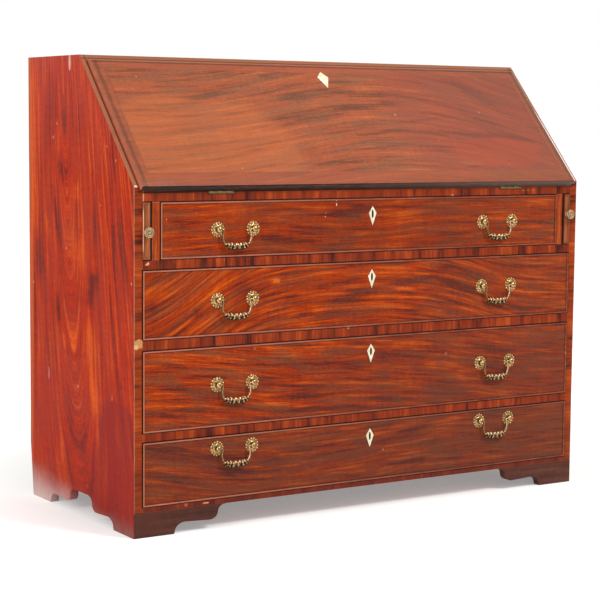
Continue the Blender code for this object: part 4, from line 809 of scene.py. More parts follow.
# The nosing's near-black tones are painted shade under the fall's lip, with some dirt; it is paler at the top
# of its roll and towards the right end.
nosing_wood = wood_material(
    "nosing", ((22, 12, 10), (44, 24, 18), (84, 48, 36)), (0.006, 0.20, 0.8, 0.2, 0.2, 0.36, 0.20, 0.3),
    fades=[(UPWARD, 760, 753.5, 0.85, (112, 58, 44)), (RIGHTWARD, 600, -250, 0.50, (116, 90, 80))],
    spots=[((-455.6, -260, 752.9), (6, 4, 3), 1.4, 0.9, PALE),
           ((-386.9, -260.5, 752.1), (8, 4, 2.6), 1.6, 0.8, TAN),
           ((-360, -261, 751), (5, 4, 2.4), 1.6, 0.8, PALE)])
slope_wood = wood_material(
    "slope_edge", ((136, 82, 56), (152, 94, 64), (168, 108, 76)),
    (0.030, 0.60, 0.4, 0.15, 0.1, 0.42, 0.12, 0.2),
    # The dark red line along the slope's edge beside the fall's lip is a painted shadow.
    stripes=[("X", 599, 1.8, 0.3, 0.92, (128, 30, 26)), ("Z", 1027, 1.4, 0.3, 0.6, SOOT)],
    spots=[((-604.2, -259.5, 752.6), (4, 5, 4), 1.4, 0.9, PALE),
           # A painted reflection: a near-white strip down the right slope edge.
           ((603.5, -200, 815), (3.6, 170, 170), 0.3, 0.95, (244, 238, 228))])
edge_wood = wood_material(
    "edge_mahogany", EDGE_TONES, (0.006, 0.20, 0.9, 0.3, 0.2, 0.45, 0.10, 0.3), shade_and_dirt="reveals")
worn_edge = wood_material(
    "worn_edge", EDGE_TONES, (0.006, 0.2, 0.8, 0.2, 0.1, 0.45, 0.15, 0.2), rubbed=0.5, shade_and_dirt="reveals")
bead_wood = wood_material(
    "cock_bead", ((72, 30, 22), (122, 52, 34), (166, 88, 58)),
    (0.004, 0.1, 0.8, 0.2, 0.1, 0.36, 0.25, 0.3), [LOPER_HIGHLIGHT], rubbed=0.15,
    # Painted highlight: the bead grows paler towards the left end, where its edges are lit.
    fades=[(LEFTWARD, 620, -350, 0.45, (206, 138, 112))])
loper_wood = wood_material(
    "loper_mahogany", ((124, 66, 36), (162, 88, 46), (190, 112, 66)),
    (0.006, 0.20, 0.7, 0.2, 0.2, 0.42, 0.12, 0.3), [LOPER_HIGHLIGHT], shade_and_dirt="front")
foot_wood = wood_material(
    "foot_mahogany", ((62, 32, 26), (86, 46, 36), (108, 62, 44)),
    (0.008, 0.25, 0.6, 0.3, 0.2, 0.45, 0.15, 0.3))
plain_wood = wood_material(
    "plain_mahogany", ((96, 40, 26), (150, 68, 42), (184, 96, 58)),
    (0.010, 0.40, 0.9, 0.3, 0.1, 0.5, 0.15, 0.2))
inner_wood = wood_material(
    "inner_mahogany", ((88, 40, 26), (142, 66, 36), (184, 100, 56)),
    (0.010, 0.20, 0.6, 0.3, 0.2, 0.45, 0.10, 0.2))
oak_wood = wood_material(
    "oak", ((140, 104, 68), (182, 144, 100), (206, 172, 130)), (0.006, 0.30, 0.8, 0.5, 0.1, 0.7, 0.1, 0.1))
pine_wood = wood_material(
    "pine", ((128, 94, 62), (168, 130, 90), (192, 156, 114)), (0.010, 0.80, 0.6, 0.1, 0.0, 0.75, 0.1, 0.1),
    stripes=[("Z", seam, 1.6, 0.4, 0.85, SOOT) for seam in (318, 566, 802)])
rail_wood = band_material(
    "crossband_rail", ((60, 26, 22), (134, 48, 22), (182, 76, 28)), 0.024, 0.36, 0.42, "X",
    [((0, FRONT_PLANE, 62), (3000, 10, 20), 0.2, 0.62, (92, 40, 34)),
     nick(-588.5, 731.0, 3.4, 12.0, 0.6, 0.85, (222, 140, 108)),
     nick(-579.6, 588.2, 3.2, 2.6, 0.8, 0.9, (232, 148, 120)),
     nick(-575.8, 590.2, 3.0, 3.4, 0.8, 0.85, (240, 168, 140)),
     nick(-580.0, 582.2, 4.0, 2.0, 0.8, 0.7, SOOT),
     nick(-483.5, 60.8, 5.0, 4.0, 0.8, 0.8, (204, 84, 44)),
     nick(-434.0, 60.0, 9.0, 2.2, 1.2, 0.8, (226, 150, 96)),
     *(nick(x, 731.2, 3.0, 1.0, 0.6, 0.7, TAN) for x in (440.3, 456.0, 472.0))])
stile_wood = band_material(
    "crossband_stile", ((70, 30, 20), (148, 56, 20), (190, 86, 30)), 0.060, 0.45, 0.45, "Z",
    [((0, FRONT_PLANE, 50), (3000, 10, 100), 1.6, 0.40, (88, 40, 28)),
     nick(-597.5, 420.0, 13.0, 11.0, 0.5, 0.90, TAN),
     nick(-604.5, 413.0, 6.0, 6.0, 0.5, 0.80, (222, 176, 132))],
    stripes=[("X", 609.6, 1.8, 2.0, 0.50, (196, 150, 136))])
print(len(bpy.data.materials), "materials so far")

# %% [markdown]
# One way to dress every board
#
# Most boards need the same steps: copy the solid, slice it where its figure shows, choose a
# finish for each face, work out the figure at each corner, round the edges, and hang it on the
# body of the board it replaces.
# The slices stop a few millimetres short of the edges, so that the rounding has room.

# %% Dressing a board
SIDEWAYS = 0.7  # a face whose direction has more X than this looks sideways


def settle(piece, slot, *nodes):
    """Rides on the body of the replaced nodes and hides them; the slot is not used."""
    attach(piece, NODES[nodes[0]].parent.name.removeprefix("body:"))
    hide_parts(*nodes)


def cuts_between(low, high, step, margin=0.003):
    """Evenly spaced places between two edges, a margin away from both."""
    count = max(2, round((high - low) / step))
    return np.linspace(low + margin, high - margin, count + 1)


def joined_grain(mesh, points, upright):
    """Ring coordinates for a carcass of several boards: level and facing boards run along X.

    Boards that stand sideways run along the upright direction, so every face corner takes its
    coordinates from the way its own face looks.
    """
    corner, counts = np.empty(len(mesh.loops), np.int32), np.empty(len(mesh.polygons), np.int32)
    mesh.loops.foreach_get("vertex_index", corner)
    mesh.polygons.foreach_get("loop_total", counts)
    owner = np.repeat(np.arange(len(counts)), counts)
    sideways = np.abs(face_facts(mesh)[1][owner, 0]) > SIDEWAYS
    places = points[corner]
    return np.where(sideways[:, None], places[:, [upright, 3 - upright, 0]], places)


def dress(node, slot, finishes, figure, choose=None, cuts=(), edge=0.0005, edge_finish=None,
          to_panel=None, mend=None, upright=None):
    """One board: copied, mended, sliced, painted face by face, figured and rounded."""
    shape = closed_shell(node)
    if mend is not None:
        mend(shape)
    for origin, normal, offsets in cuts:
        slice_shell(shape, origin, normal, offsets)
    mesh = shell_mesh(shape, node + "_dressed", finishes)
    chosen = np.zeros(len(mesh.polygons), np.int32)
    if choose is not None:
        chosen[:] = choose(*face_facts(mesh))
    mesh.polygons.foreach_set("material_index", chosen)
    points = np.empty(len(mesh.vertices) * 3)
    mesh.vertices.foreach_get("co", points)
    points = points.reshape(-1, 3)
    rings, tone = figure_of(points if to_panel is None else to_panel(points), **figure)
    if upright is None:
        store(mesh, "rings", rings)
    else:
        store(mesh, "rings", joined_grain(mesh, points, upright), "CORNER")
    store(mesh, "clouds", tone)
    piece = link_piece(node + "_dressed", mesh)
    bevel_edges(piece, edge, -1 if edge_finish is None else finishes.index(edge_finish))
    settle(piece, slot, node)


ALONG_X, UPRIGHT = dict(grain=0, across=1, figure={}), dict(grain=2, across=0, figure={})
print("dressing ready")

# %% [markdown]
# The hidden boards
#
# The back, the drawer boxes, the back brackets and the small compartments behind the fall have
# straight grain and no marks worth placing, so they are dressed in one pass.
# The fronts of the small drawers have a calm figure of their own.

# %% Plain boards
dress("back_panel", "pine_lining", [pine_wood], ALONG_X, edge=0.0008)
for side in ("left", "right"):
    dress(f"foot_back_{side}", "pine_lining", [pine_wood], ALONG_X, edge=0.0010)
for place in ("left", "centre", "right"):
    dress(f"pigeonholes_{place}", "mahogany", [plain_wood], ALONG_X, edge=0.0004, upright=2)
for number in range(1, 5):
    dress(f"drawer_{number}_box", "oak_lining", [oak_wood], ALONG_X, upright=1)


def forward_faces(front):
    """Chooses the second finish for faces that look forward and don't lie behind this plane."""
    def choose(middles, normals):
        return np.where((normals[:, 1] < -0.7) & (middles[:, 1] < front), 1, 0)
    return choose


for place in ("left", "centre", "right"):
    node = f"small_drawer_{place}"
    shown = forward_faces(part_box(node)[0][1] + 0.001)
    dress(node, "mahogany", [plain_wood, inner_wood], ALONG_X, shown, upright=1)
print("plain boards dressed")

# %% [markdown]
# The rails between the drawers
#
# Each rail carries a dustboard behind it and stands in the case with its front edge showing.
# That edge is crossbanded: short pieces of veneer with upright grain, some orange and some
# nearly black. The dustboard behind is plain.
# The edge of the bottom board and of the writing bed get the same band.

# %% Rails
FRONT_FACE = float(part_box("side_left")[0][1])
front_edge = forward_faces(FRONT_FACE + 0.004)

for node in ("drawer_rail_1", "drawer_rail_2", "drawer_rail_3", "writing_bed", "bottom_board"):
    slot = "crossband" if "rail" in node else "mahogany"
    dress(node, slot, [plain_wood, rail_wood, worn_edge], ALONG_X, front_edge, edge_finish=worn_edge)
print("rails dressed")

# %% [markdown]
# Top, lopers and partitions
#
# The top board shows its bevelled front edge and its ends in the photograph. The lopers show
# only their front ends, beaded like the drawers, beside the edges of the partitions.

# %% Top and lopers
dress("top_board", "mahogany", [fall_wood, slope_wood], ALONG_X,
      lambda middles, normals: np.where(normals[:, 1] < -0.3, 1, 0), edge=0.0008, edge_finish=slope_wood)
for side in ("left", "right"):
    dress(f"loper_partition_{side}", "mahogany", [plain_wood, edge_wood, worn_edge], UPRIGHT, front_edge,
          edge_finish=worn_edge)
    dress(f"loper_{side}", "mahogany", [plain_wood, loper_wood, bead_wood], UPRIGHT, front_edge,
          edge_finish=bead_wood)
print("top and lopers dressed")

# %% [markdown]
# The sides
#
# The left side is the desk's best plank: a flame that points down, with its tip at the middle
# of the side, an orange strip along the back edge and short dark streaks on both flanks.
# The right side mirrors the plank, with other marks, since one board was often sawn in two.

# %% Sides
SIDE_CLOUDS = (
    (904, 160, 73, 21.7, -0.04, -0.7), (775, 101, 25, 6.9, 0.59, -1.2), (675, 128, 52, 10.5, 0.36, -1.2),
    (571, 223, 45, 19.8, 0.04, -1), (538, -63, 17, 20, 0.11, -1.3), (885, 5, 37, 16.3, -0.12, -0.5),
    (800, -159, 65, 7.6, 0.08, -0.7), (785, -99, 52, 7.9, 0.07, -0.5), (653, -70, 44, 13.5, -0.01, -0.5),
    (923, 254, 92, 22.5, -0.04, 0.8), (728, 255, 84, 22.6, -0.02, 0.5), (733, 19, 12, 12.4, -0.01, 1),
    (592, 8, 48, 28.7, 0.08, 0.8), (853, 115, 34, 12.9, -0.01, 0.6), (808, -47, 42, 9.6, 0.19, 0.5),
    (645, 175, 32, 7.1, 0.54, 0.7), (619, -209, 84, 22.5, 0.18, -0.4), (882, -91, 79, 5.6, 0.54, 0.5),
    (598, -164, 69, 7.7, 0, -0.5), (458, 121, 30, 10.6, 0.14, -1.2), (501, -49, 16, 20.5, 0.12, -1),
    (214, 57, 86, 25.9, 0.04, -0.5), (146, -17, 65, 25.1, 0.02, -0.5), (148, 147, 49, 9, 0.08, -0.7),
    (193, 225, 47, 13.9, -0.02, -0.4), (390, -54, 44, 28.7, 0.27, 0.9), (288, -70, 42, 24.6, 0.29, 1.1),
    (394, 86, 18, 10.5, 0.23, 0.7), (188, -92, 26, 8.2, 0.23, 0.9), (201, -186, 26, 9.4, 0.6, 0.5),
    (143, 104, 30, 8.9, 0.06, 0.6), (318, -187, 40, 23.4, 0.38, -0.5), (376, -226, 52, 15.3, 0.15, -0.4),
    (370, 39, 29, 17.1, 0.14, 0.4), (131, -114, 24, 20.2, 0.33, 0.2),
)
SIDE_FIGURE = {"clouds": SIDE_CLOUDS, "lean": 0.24, "reach": (0.27, -0.27), "pith": (0.05, 0.120, -0.12)}
SIDE_CUTS = [((0, 0, 0), (0, 0, 1), cuts_between(0.06, 1.01, 0.018)),
             ((0, 0, 0), (0, 1, 0), cuts_between(-0.255, 0.262, 0.0085))]


def side_faces(middles, normals):
    """0 the face, 1 the banded front stile, 2 the slope's edge."""
    front = (normals[:, 1] < -0.9) & (middles[:, 1] < FRONT_FACE + 0.002)
    slope = (normals[:, 1] < -0.5) & (normals[:, 2] > 0.3) & (middles[:, 2] > 0.74)
    return np.where(front, 1, np.where(slope, 2, 0))


for side in ("left", "right"):
    dress(f"side_{side}", "mahogany_side", [side_wood, stile_wood, slope_wood, worn_edge],
          dict(grain=2, across=1, figure=SIDE_FIGURE), side_faces, SIDE_CUTS, 0.0007, worn_edge)
for side in ("left", "right"):
    dress(f"foot_front_{side}", "mahogany_foot", [foot_wood], ALONG_X, edge=0.0008)
print("sides and feet dressed")

# %% [markdown]
# The drawer fronts
#
# Every front has its own figure, read off the photograph: the second has a diagonal flame at
# its left third, the third has bright orange streaks at its right, the fourth is the darkest.
# The CAD front carries its rosettes and posts, which are left off the wood and cast anew in
# brass, so their faces are deleted and the round openings they leave are filled.
# The raised bead round the edge is a finish of its own, rubbed, with a painted highlight that grows towards
# the left.

# %% Drawer fronts
POSTS_FROM_CENTRE, POST_SPACING, MOUNT_RADIUS = 0.3627, 0.089, 0.0175
POST_HEIGHTS = (0.6585, 0.5047, 0.3194, 0.1784)
BEAD_WIDTH, BEHIND_MOUNTS = 0.003, 0.00002
POST_PLACES = [middle + half for middle in (-POSTS_FROM_CENTRE, POSTS_FROM_CENTRE)
               for half in (-POST_SPACING / 2, POST_SPACING / 2)]
FRONT_FIGURES = (
    {"shift": 3.0, "rises": (("hump", 0.25, 0.30, 0.012), ("hump", -0.30, 0.20, 0.010)), "clouds": (
        (-80, 687, 44, 11.3, 0, -1.1), (-169, 652, 69, 6.4, 0.04, -0.9), (-226, 631, 71, 7.9, -0.05, -1),
        (-134, 613, 58, 5.8, 0, -0.8), (-483, 673, 45, 6.1, -0.06, -0.7), (-488, 692, 54, 2.1, -0.09, -0.4),
        (-481, 620, 47, 6.1, -0.07, -0.5), (-243, 689, 47, 9.5, 0.08, 0.4), (-373, 700, 47, 7.7, -0.09, 0.4),
        (-532, 680, 12, 6.1, -0.69, 0.5), (-24, 697, 38, 8.3, 0.03, -1), (-51, 678, 12, 4, 0.12, -0.9),
        (207, 696, 52, 2.1, 0.05, -0.6), (217, 634, 56, 4.5, -0.03, -0.5), (134, 613, 40, 3.4, -0.02, -0.8),
        (38, 616, 64, 2.7, 0.02, -0.5), (473, 656, 53, 2.5, -0.1, -0.6), (483, 707, 55, 7.1, 0.06, 0.4),
        (101, 677, 42, 10.1, 0.02, 0.5), (244, 675, 41, 10.3, 0.06, 0.3),
    )},
    {"shift": 9.0, "rises": (("step", -0.45, 0.15, 0.19), ("step", 0.30, 0.16, -0.085)), "clouds": (
        (-344, 525, 22, 17.3, 0.03, -0.9), (-458, 477, 12, 9.3, 0.39, -0.8),
        (-570, 490, 14, 18.4, 0.17, -0.7), (-554, 562, 22, 9.2, 0.17, -0.5), (-258, 539, 12, 8, -0.66, 1.3),
        (-214, 503, 19, 6.4, 0.12, -0.8), (-177, 467, 17, 6.5, 0.14, -0.8), (-79, 487, 47, 9.8, 0.06, -0.7),
        (-109, 451, 51, 8.1, 0.01, -0.6), (-398, 449, 14, 6.3, 0.27, -0.7), (-516, 528, 23, 9.2, 0.64, 0.6),
        (-467, 460, 26, 9.3, 0.42, 0.5), (208, 553, 28, 7.6, 0.06, -0.8), (127, 529, 44, 6.8, 0.08, -0.9),
        (215, 519, 44, 8, -0.3, -1.1), (290, 500, 31, 10.5, -0.21, -1.1), (373, 480, 29, 10.6, -0.23, -0.9),
        (437, 443, 35, 8.2, -0.36, -0.8), (225, 471, 52, 5.2, -0.24, -0.9), (-17, 509, 43, 6.7, 0.03, -0.9),
        (51, 482, 33, 5.1, -0.16, -0.7), (-27, 447, 33, 6.7, 0.03, -0.8), (122, 459, 25, 4.1, 0.02, -0.7),
        (132, 511, 57, 5.8, 0, 0.8), (178, 448, 30, 8.7, -0.02, 0.6), (152, 539, 19, 3.4, 0.01, 0.7),
        (276, 539, 44, 8.7, -0.12, -0.5),
    )},
    {"shift": 15.0, "rises": (("step", -0.40, 0.20, -0.05), ("step", 0.25, 0.25, -0.07)), "clouds": (
        (-142, 346, 112, 8.2, -0.05, -1.1), (-294, 364, 59, 3.3, -0.11, -0.8),
        (-391, 332, 57, 6.4, -0.16, -0.9), (-289, 323, 19, 4.3, -0.11, -0.8),
        (-502, 296, 57, 6.3, -0.11, -0.6), (-466, 307, 47, 4.8, -0.1, -0.6),
        (-168, 294, 63, 6.6, -0.02, -0.8), (-176, 276, 78, 6.6, -0.02, -0.8),
        (-132, 243, 103, 5, -0.03, -1.2), (-374, 252, 67, 8.1, -0.12, -0.7),
        (-545, 255, 32, 9.5, -0.06, -0.5), (-515, 383, 59, 9.5, 0.02, 0.5), (-326, 287, 72, 4.9, 0.01, 0.4),
        (-261, 264, 46, 4.9, -0.04, 0.6), (-516, 279, 68, 4.7, -0.03, 0.5), (-177, 324, 39, 6.6, 0.06, 0.5),
        (144, 343, 66, 4.5, -0.11, -0.8), (4, 362, 62, 4.1, -0.07, -0.6), (334, 356, 63, 7.1, -0.23, -0.8),
        (67, 258, 55, 6.9, -0.12, -0.6), (204, 328, 63, 4.5, -0.17, 0.8), (428, 384, 78, 6.4, -0.15, 0.9),
        (7, 286, 64, 5.1, 0.01, 0.6), (265, 263, 62, 2.1, -0.05, 0.4), (334, 229, 38, 7.1, 0.06, -0.5),
        (462, 314, 46, 7.2, 0.05, 0.3), (38, 384, 39, 5.1, -0.15, 0.5), (145, 305, 58, 6.9, -0.13, -0.3),
    )},
    {"shift": 21.0, "rises": (("step", -0.48, 0.12, -0.05), ("hump", 0.20, 0.18, 0.014)), "clouds": (
        (-505, 172, 79, 12.7, -0.22, -0.8), (-260, 126, 46, 9.9, -0.03, -0.6),
        (-387, 180, 17, 8.2, -0.04, 0.5), (-153, 105, 30, 4.4, -0.04, 0.8), (-540, 94, 45, 9.6, 0, 0.4),
        (-355, 114, 64, 8.2, -0.08, -0.4), (-184, 121, 14, 5, -0.04, -0.8), (-163, 153, 67, 6.7, 0.01, -0.4),
        (-507, 121, 59, 6.4, -0.21, -0.4), (124, 172, 55, 7, 0.09, -0.7), (133, 103, 34, 4.6, 0.06, -1.1),
        (167, 142, 39, 5.3, 0, -0.5), (227, 187, 48, 7, 0.12, 0.8), (137, 144, 34, 5.2, 0.09, 0.7),
        (123, 113, 62, 6.3, 0.07, 0.6), (246, 96, 22, 10.7, 0.07, -0.6), (-2, 156, 54, 8.6, 0.01, -0.5),
        (377, 120, 136, 14.3, -0.01, -0.3), (19, 173, 50, 3.4, -0.02, 0.5),
    )},
)


def without_mounts(post_height):
    """Deletes the fused rosettes and posts and fills the openings in the wood."""
    def near_mount(face):
        middle = face.calc_center_median()
        nearest = min(abs(middle.x - place) for place in POST_PLACES)
        inside = math.hypot(nearest, middle.z - post_height) < MOUNT_RADIUS
        return inside and middle.y < FRONT_FACE - BEHIND_MOUNTS

    def mend(shape):
        bmesh.ops.delete(shape, geom=[face for face in shape.faces if near_mount(face)], context="FACES")
        bmesh.ops.contextual_create(shape, geom=[edge for edge in shape.edges if edge.is_boundary])
        bmesh.ops.recalc_face_normals(shape, faces=shape.faces)
        join_flat_faces(shape)
    return mend


def front_faces(bottom, top, half):
    """0 the field, 1 the bead that stands round it."""
    def choose(middles, normals):
        inner = ((np.abs(middles[:, 0]) < half - BEAD_WIDTH) & (middles[:, 2] > bottom + BEAD_WIDTH)
                 & (middles[:, 2] < top - BEAD_WIDTH))
        return np.where((middles[:, 1] < FRONT_FACE + 0.0001) & ~inner, 1, 0)
    return choose


for number, (post_height, figure) in enumerate(zip(POST_HEIGHTS, FRONT_FIGURES), start=1):
    node = f"drawer_{number}_front"
    low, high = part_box(node)
    cuts = [((0, 0, 0), (1, 0, 0), cuts_between(low[0], high[0], 0.018, 0.0045)),
            ((0, 0, 0), (0, 0, 1), cuts_between(low[2], high[2], 0.0055, 0.0045))]
    dress(node, "mahogany", [FRONT_WOODS[number - 1], bead_wood], dict(grain=0, across=2, figure=figure),
          front_faces(low[2], high[2], high[0]), cuts, 0.0005, bead_wood, mend=without_mounts(post_height))
print("drawer fronts dressed")

# %% [markdown]
# The fall
#
# The fall is one wide board with a border of darker wood, parted from the field by a thin dark
# string. Its figure rises in long arcs, highest a little right of the middle, and drops
# steeply towards the right end. It is worked out on the slope itself, so points are first
# turned into the panel's own directions: along the hinge, up the slope and out of it.

# %% Fall
SLOPE = math.radians(46.9)
HINGE_LINE = np.array([0.0, FRONT_FACE - 0.0004, 0.739])
UP_SLOPE = np.array([0.0, math.cos(SLOPE), math.sin(SLOPE)])
OUT_OF_SLOPE = np.array([0.0, -math.sin(SLOPE), math.cos(SLOPE)])
FIELD_HALF, FIELD_LOW, FIELD_HIGH, STRING = 0.5690, 0.0400, 0.3480, 0.0012
FALL_CLOUDS = (
    (-343, 264, 87, 10.4, 0.35, -1), (-224, 302, 22, 6, 0.18, -0.7), (-162, 334, 17, 6.1, -0.21, -0.6),
    (-279, 343, 34, 8.2, 0.2, -0.4), (-114, 270, 39, 12, 0.07, -0.8), (-485, 211, 36, 3.1, 0.17, -0.6),
    (-410, 163, 89, 3.5, 0.16, -0.7), (-364, 125, 74, 4, 0.09, -0.5), (-299, 214, 26, 3.2, 0.12, -0.5),
    (-165, 203, 59, 4.8, 0.15, -0.7), (-269, 106, 23, 3.6, 0.08, -0.7), (-85, 207, 107, 4.3, 0.11, -0.6),
    (5, 292, 53, 9.5, 0, -0.6), (-525, 45, 30, 1.9, -0.29, -0.6), (-175, 61, 132, 3.5, 0.05, -0.6),
    (-466, 136, 36, 10, 0.14, 0.5), (-241, 159, 26, 7.8, 0.15, 0.4), (-584, 193, 34, 15.1, -0.66, -0.15),
    (43, 322, 28, 9.6, -0.02, -0.8), (45, 240, 50, 6.8, 0.06, -0.9), (156, 256, 31, 9, 0.02, -0.8),
    (187, 282, 70, 3.8, -0.13, -0.6), (292, 317, 48, 11.1, -0.37, -0.6), (424, 295, 59, 16.9, -0.92, -0.9),
    (231, 201, 75, 3.7, 0.13, -0.7), (418, 195, 49, 6, -0.25, -1), (82, 158, 62, 5.6, 0.14, -0.6),
    (267, 160, 123, 6.8, -0.06, -0.7), (456, 145, 74, 8, -0.15, -1.1), (53, 110, 64, 3, 0.15, -0.5),
    (245, 114, 127, 6.1, -0.05, -0.6), (-6, 70, 92, 2.9, 0.05, -0.8), (297, 50, 20, 4.1, 0.06, -0.9),
    (556, 180, 20, 6.6, -0.34, -0.6), (303, 61, 35, 10.2, 0.07, 0.5), (246, 105, 24, 10.3, -0.22, -0.3),
)
FALL_RISES = (("hump", 0.12, 0.38, 0.09), ("step", 0.50, 0.10, -0.05))
FALL_FIGURE = {"shift": 30.0, "depth": 1.2, "rises": FALL_RISES, "clouds": FALL_CLOUDS}


def on_slope(points):
    away = points - HINGE_LINE
    return np.stack([points[:, 0], away @ UP_SLOPE, away @ OUT_OF_SLOPE], axis=1)


def fall_faces(middles, normals):
    """0 the field, 1 the border, 2 the string, 3 the moulded lip, 4 the inside, 5 the nosing."""
    place = on_slope(middles)
    outside = np.maximum(np.abs(place[:, 0]) - FIELD_HALF,
                         np.maximum(FIELD_LOW - place[:, 1], place[:, 1] - FIELD_HIGH))
    outward, downhill = normals @ OUT_OF_SLOPE, normals @ UP_SLOPE
    chosen = np.where(outside < 0, 0, np.where(outside < STRING, 2, 1))
    rim = np.where(downhill < -0.3, 5, 3)
    return np.where(np.abs(outward) < 0.98, rim, np.where(outward < 0, 4, chosen))


def field_cuts(low, high, count):
    """Even cuts over the field, and one at the outer edge of the string at either end."""
    return np.concatenate([np.linspace(low, high, count), [low - STRING, high + STRING]])


FALL_CUTS = [(HINGE_LINE, (1, 0, 0), field_cuts(-FIELD_HALF, FIELD_HALF, 63)),
             (HINGE_LINE, UP_SLOPE, field_cuts(FIELD_LOW, FIELD_HIGH, 57))]
dress("fall", "mahogany", [fall_wood, fall_border, string_wood, lip_wood, plain_wood, nosing_wood],
      dict(grain=0, across=1, figure=FALL_FIGURE), fall_faces, FALL_CUTS, 0.0006, lip_wood, to_panel=on_slope)
print("fall dressed")

# %% [markdown]
# Old brass and bone
#
# The handles were cast, gilded or lacquered, and rubbed for two hundred years: the heights are
# bright and the hollows nearly black with polish and dirt.
# Each casting carries a number at every corner, its relief, from 0 in the hollows to 1 on the
# heights, and the finish reads it. On the bails it is also lowered on the outer side of the tube
# as painted shade, with some dirt. Bone is cream, a little mottled and streaked, and the shade
# in its keyholes is painted in as dark spots.

# %% Brass and bone
def brass_material(name, bright, dull, grime, roughness):
    """Three tones by relief, with a fine blotch that moves the borders between them."""
    material, recipe, shader = new_material(name, roughness, 0.4, metallic=0.85)
    relief = recipe.node("Attribute", attribute_name="relief").outputs["Fac"]
    blotch = recipe.noise(recipe.point(), 320.0, detail=4.0, roughness=0.6)
    level = recipe.add(relief, recipe.swing(blotch, 0.55))
    tones = colour(*grime), colour(*dull), colour(*bright)
    recipe.feed(shader.inputs["Base Color"], recipe.three_tones(level, tones, 0.15, 0.55))
    recipe.feed(shader.inputs["Roughness"], recipe.span(level, 0.2, 0.9, roughness + 0.25, roughness))
    recipe.relief(shader, blotch, 0.3, 0.0002)
    return material


def bone_material():
    material, recipe, shader = new_material("bone_finish", 0.4, 0.1)
    point = recipe.point()
    mottle = recipe.noise(point, 130.0, detail=4.0, roughness=0.6)
    streak = recipe.noise(point, (300.0, 300.0, 60.0))
    tinted = recipe.mix(recipe.span(mottle, 0.35, 0.7), colour(226, 208, 172), colour(246, 238, 214))
    tinted = recipe.mix(recipe.span(streak, 0.62, 0.8, 0.0, 0.35), tinted, colour(196, 170, 126))
    # The shade in the keyholes is painted in: a near-black spot over each slot.
    keyhole_shade = [((0, -260, 1000 * top - 18), (3, 20, 10.3), 0.2, 1.0, (22, 10, 6)) for top in KITE_TOPS]
    recipe.feed(shader.inputs["Base Color"], marked(recipe, point, tinted, keyhole_shade))
    return material


old_brass = brass_material("old_brass", (236, 196, 140), (154, 118, 70), (60, 44, 24), 0.27)
bail_brass = brass_material("bail_brass", (244, 208, 166), (156, 120, 80), (50, 36, 22), 0.28)
green_brass = brass_material("green_brass", (184, 168, 120), (118, 104, 66), (48, 40, 26), 0.38)
knob_brass = brass_material("knob_brass", (206, 180, 142), (158, 132, 96), (58, 42, 28), 0.42)
bone = bone_material()
print("brass and bone ready")

# %% [markdown]
# Surfaces from formulas
#
# A casting is a sheet of points: rows along it and columns round it. Where the columns meet
# again the sheet closes into a tube, and a single point at either end closes it into a solid.
# The helper below joins such a sheet into faces whatever its shape is.

# %% Sheet helper
def circle(count):
    return np.linspace(0, 2 * np.pi, count, endpoint=False)


def sheet_faces(rows, columns, start):
    """Four-cornered faces of a tube of rows x columns points, and fans to a point at both ends.

    The first end point is number start, then come the rows, then the last end point.
    """
    around = np.arange(columns)
    beyond = (around + 1) % columns
    first, end = start + 1, start + 1 + rows * columns
    row = first + np.arange(rows - 1)[:, None] * columns
    quads = np.stack([row + around, row + beyond, row + columns + beyond, row + columns + around], axis=-1)
    last_row = end - columns
    near = np.stack([np.full(columns, start), first + beyond, first + around], axis=-1)
    far = np.stack([np.full(columns, end), last_row + around, last_row + beyond], axis=-1)
    return quads.reshape(-1, 4).tolist() + near.tolist() + far.tolist()


def cast_piece(name, sheets, finish):
    """One object from several closed sheets.

    Each sheet is its first point, a grid of rows x columns x 3, its last point and its relief.
    """
    points, faces, relief = [], [], []
    for first, grid, last, heights in sheets:
        rows, columns = grid.shape[:2]
        faces += sheet_faces(rows, columns, sum(len(block) for block in points))
        points.append(np.concatenate([[first], grid.reshape(-1, 3), [last]]))
        relief.append(np.concatenate([[heights[0].mean()], heights.ravel(), [heights[-1].mean()]]))
    mesh = bpy.data.meshes.new(name)
    mesh.from_pydata(np.concatenate(points).tolist(), [], faces)
    shape = bmesh.new()
    shape.from_mesh(mesh)
    bmesh.ops.recalc_face_normals(shape, faces=shape.faces)
    shape.to_mesh(mesh)
    shape.free()
    mesh.materials.append(finish)
    store(mesh, "relief", np.concatenate(relief))
    mesh.shade_smooth()
    return link_piece(name, mesh)


def smooth_path(knots, count):
    """Points on a Catmull-Rom curve through the knots, evenly spread over the knots."""
    knots = np.asarray(knots, float)
    padded = np.concatenate([2 * knots[:1] - knots[1:2], knots, 2 * knots[-1:] - knots[-2:-1]])
    place = np.linspace(0, len(knots) - 1, count)
    index = np.minimum(place.astype(int), len(knots) - 2)
    t = (place - index)[:, None]
    before, start, end, after = (padded[index + step] for step in range(4))
    return 0.5 * (2 * start + (end - before) * t + (2 * before - 5 * start + 4 * end - after) * t ** 2
                  + (3 * start - before - 3 * end + after) * t ** 3)


def turned(profile, centre, count=60, level=0.6, depth=6000):
    """A turned solid that points forward: the profile gives (way out, radius) from tip to foot.

    The relief is the level, less where the profile is hollow and more where it is round.
    """
    curve, angle = smooth_path(profile, count), circle(40)
    radius, out = np.maximum(curve[1:-1, 1:], 1e-5), curve[1:-1, :1]
    grid = np.stack([centre[0] + radius * np.cos(angle), centre[1] - out + 0 * angle,
                     centre[2] + radius * np.sin(angle)], axis=-1)
    ends = [(centre[0], centre[1] - curve[end, 0], centre[2]) for end in (0, -1)]
    bend = np.gradient(np.gradient(curve[:, 1])) + np.gradient(np.gradient(curve[:, 0]))
    relief = np.clip(level - bend[1:-1, None] * depth, 0.1, 1.0) + 0 * angle
    return ends[0], grid, ends[1], relief


print("sheet helpers ready")

